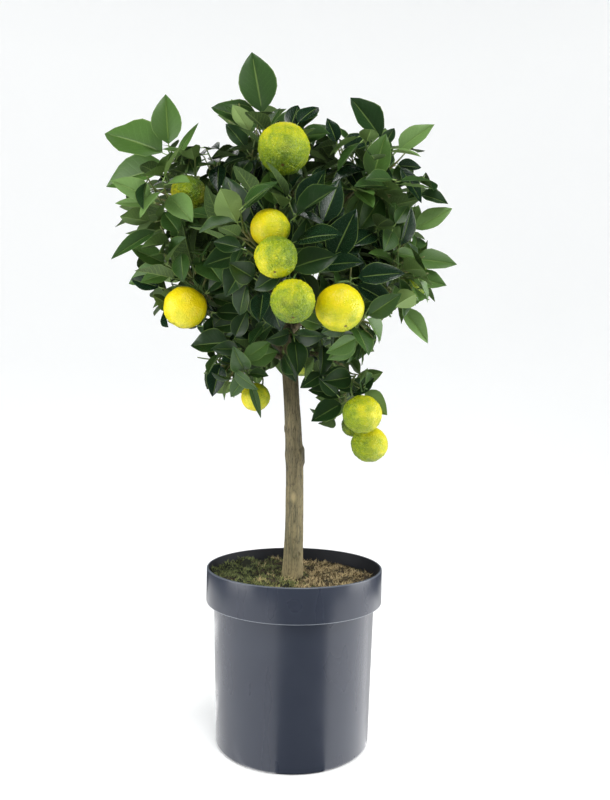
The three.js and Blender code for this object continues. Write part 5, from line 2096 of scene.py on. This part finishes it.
# %% Fruits
FRUIT_FLATNESS = 0.97
FRUIT_FINENESS = {"fruits_near_left": 6, "fruits_near_right": 6, "fruits_far": 5}
LUMPS = 0.03
LUMPS_PER_FRUIT = 2.1
LUMPS_BY_PLACE = 90
PEBBLE_DEPTHS = (0.00018, 0.00085)
PEBBLES_PER_METRE = 330
PEBBLE_SLOPE = 2.2
PEBBLE_LEVEL = 0.6
COARSE_FROM = 0.5
STALK_DIMPLE = (0.05, 0.3)
TIP_DIMPLE = (0.035, 0.16)
SCAR_ANGLE = 0.085
GREEN_AND_SHADE_SIDE = 1.5
GREEN_PATCHES = 0.14
PATCHES_PER_FRUIT = 2.4
PATCHES_BY_PLACE = 50
GREEN_VALLEYS = 0.1


def gland(spot):
    """Pebbles: 1 in the middle of a cell of a Voronoi pattern and 0 between the cells."""
    near = noise.voronoi(spot * PEBBLES_PER_METRE)[0]
    return min(1.0, (near[1] - near[0]) * PEBBLE_SLOPE)


def grow_fruit(fruit, fineness):
    """Adds one ball and shapes it. Each of its points keeps how green it is, and how scarred."""
    start_modelling()
    centre = Vector(fruit.centre) * MM
    knob = Vector(fruit.knob)
    lean = Vector(fruit.greener_and_shaded_side)
    coarseness = min(1, fruit.greenness / COARSE_FROM) ** 2
    bpy.ops.mesh.primitive_ico_sphere_add(subdivisions=fineness, radius=1)
    ball = bpy.context.object
    greenness, scars = [], []
    for vertex in ball.data.vertices:
        heading = vertex.co.normalized()
        lumps = noise.noise(heading * LUMPS_PER_FRUIT + centre * LUMPS_BY_PLACE)
        size = fruit.radius * MM * (1 + LUMPS * lumps)
        size *= 1 - STALK_DIMPLE[0] * hill(heading.angle(knob), 0, STALK_DIMPLE[1])
        size *= 1 - TIP_DIMPLE[0] * hill(heading.angle(-knob), 0, TIP_DIMPLE[1])
        spot = Vector((heading.x, heading.y, heading.z * FRUIT_FLATNESS)) * size + centre
        pebble = gland(spot)
        vertex.co = spot + heading * blend(*PEBBLE_DEPTHS, coarseness) * (pebble - PEBBLE_LEVEL)
        patches = noise.fractal(heading * PATCHES_PER_FRUIT + centre * PATCHES_BY_PLACE, 1, 2, 3)
        # Painted shade, in part: the greener side darkens the rind.
        green = fruit.greenness + GREEN_AND_SHADE_SIDE * heading.dot(lean) + GREEN_PATCHES * patches
        greenness.append(green + GREEN_VALLEYS * coarseness * (0.5 - pebble))
        scars.append(hill(heading.angle(-knob), 0, SCAR_ANGLE))
    keep_values(ball, "green", greenness)
    keep_values(ball, "scar", scars)
    return ball


def join_pieces(name, pieces):
    take(*pieces)
    bpy.ops.object.join()
    bpy.context.object.name = name
    bpy.ops.object.shade_smooth()
    return bpy.context.object


def side_of(fruit):
    """The fruits behind the trunk are one piece, and those in front of it are two."""
    if fruit.centre[1] >= 0:
        return "fruits_far"
    return "fruits_near_left" if fruit.centre[0] < 0 else "fruits_near_right"


fruit_pieces = [
    join_pieces(side, [grow_fruit(fruit, fineness) for fruit in fruits if side_of(fruit) == side])
    for side, fineness in FRUIT_FINENESS.items()
]
print("fruits:", [len(piece.data.polygons) for piece in fruit_pieces], "faces")

# %% [markdown]
# The rind's colour runs from yellow through green along one scale, and how green each point is
# picks the place on it. The picture's riper fruits are nearly even, and the greener ones mottled,
# so the noises that are added count for more the greener the rind is. A brown scar marks the tip.

# %% Rind
RIPENESS = [
    (0.0, colour(222, 200, 4)),
    (0.22, colour(194, 188, 8)),
    (0.48, colour(140, 158, 14)),
    (0.74, colour(92, 120, 18)),
    (1.0, colour(48, 72, 14)),
]
LEMON = colour(214, 204, 40)
SCAR = colour(92, 66, 30)

rind = Finish("citrus_rind", roughness=0.3, plain={"Specular IOR Level": 0.4})
greenness = rind.kept("green")
scar = rind.kept("scar")
mottle = rind.clouds(rind.places(), scale=200, detail=5, roughness=0.68)
broad = rind.clouds(rind.places(), scale=50, detail=2)
pores = rind.node("ShaderNodeTexVoronoi", {}, {"Vector": rind.places(), "Scale": 620})
greener = greenness.fade(0.15, 0.6)
ripeness = greenness + (mottle - 0.5) * (0.14 + 0.58 * greener) + (broad - 0.5) * 0.2
ripeness += (pores - 0.4) * (0.02 + 0.03 * greener)
skin = rind.node("ShaderNodeValToRGB", {"stops": RIPENESS}, {0: ripeness})
skin = rind.mix(broad.fade(0.5, 0.8) * 0.25, skin, LEMON)
rind.feed("Base Color", rind.mix(scar.fade(0.35, 0.75), skin, SCAR))
rind.feed("Roughness", 0.26 + 0.14 * mottle)
rind.bumps(pores * (-0.35 - 0.65 * greener) + mottle * 0.6 * greener, depth=0.0013)
rind.paint(*fruit_pieces)
print("rind finish:", len(rind.nodes), "nodes")

# %% [markdown]
# A fruit keeps the little star of its flower where the stalk enters. It is modelled once, by hand:
# a ten-cornered disc, every second corner drawn in, inset and lifted in the middle, and rounded by
# a subdivision. Each fruit gets a copy, turned to face along its stalk.

# %% Calyx stars
STAR_RADIUS = 0.0042
STAR_CORNERS = 10
STAR_INNER = 0.6
STAR_INSET = 0.25
STAR_THICKNESS = 0.0009
STAR_BULGE = 0.8
STAR_SINK = 0.4


def model_star():
    """Models one star, flat on the floor."""
    start_modelling()
    bpy.ops.mesh.primitive_circle_add(vertices=STAR_CORNERS, radius=STAR_RADIUS, fill_type="NGON")
    star = bpy.context.object
    for index, vertex in enumerate(star.data.vertices):
        vertex.co *= STAR_INNER if index % 2 else 1.0
    bpy.ops.object.mode_set(mode="EDIT")
    bpy.ops.mesh.select_all(action="SELECT")
    bpy.ops.mesh.extrude_region_move(TRANSFORM_OT_translate={"value": (0, 0, STAR_THICKNESS)})
    bpy.ops.mesh.inset(thickness=STAR_RADIUS * STAR_INSET)
    bpy.ops.transform.translate(value=(0, 0, STAR_THICKNESS * STAR_BULGE))
    bpy.ops.object.mode_set(mode="OBJECT")
    refine(star, 2)
    return star


star = model_star()
stars = []
for fruit in fruits:
    copy = star.copy()
    copy.data = star.data.copy()
    bpy.context.scene.collection.objects.link(copy)
    knob = Vector(fruit.knob)
    seat = fruit.radius * (1 - STALK_DIMPLE[0]) - STAR_SINK
    turn = knob.to_track_quat("Z", "Y").to_matrix().to_4x4()
    turn.translation = (Vector(fruit.centre) + knob * seat) * MM
    copy.data.transform(turn)
    stars.append(copy)
bpy.data.objects.remove(star)
calyxes = join_pieces("calyxes", stars)
sepal = Finish("calyx_green", roughness=0.6)
dull = sepal.clouds(sepal.places(), scale=1200, detail=2)
sepal.feed("Base Color", sepal.mix(dull.fade(0.4, 0.6), colour(96, 110, 48), colour(122, 118, 66)))
sepal.bumps(dull, depth=0.0002)
sepal.paint(calyxes)
print("calyxes:", len(stars))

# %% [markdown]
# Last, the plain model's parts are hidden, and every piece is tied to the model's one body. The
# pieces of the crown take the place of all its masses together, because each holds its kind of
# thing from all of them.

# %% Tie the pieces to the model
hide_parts("pot")
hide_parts("soil")
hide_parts("moss")
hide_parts("moss")
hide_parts("trunk")
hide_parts(*bough_nodes)
leafy = [shoots_green, *leaf_pieces, *fruit_pieces, calyxes]
for piece in (stems, *leafy):
    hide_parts(*mass_nodes)
everything = [pot, soil, carpet, spikes, trunk, boughs, stems, *leafy]
for piece in everything:
    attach(piece, "root")
faces = {piece.name: sum(len(face.vertices) - 2 for face in piece.data.polygons) for piece in everything}
print("triangles:", faces, "in all", sum(faces.values()))
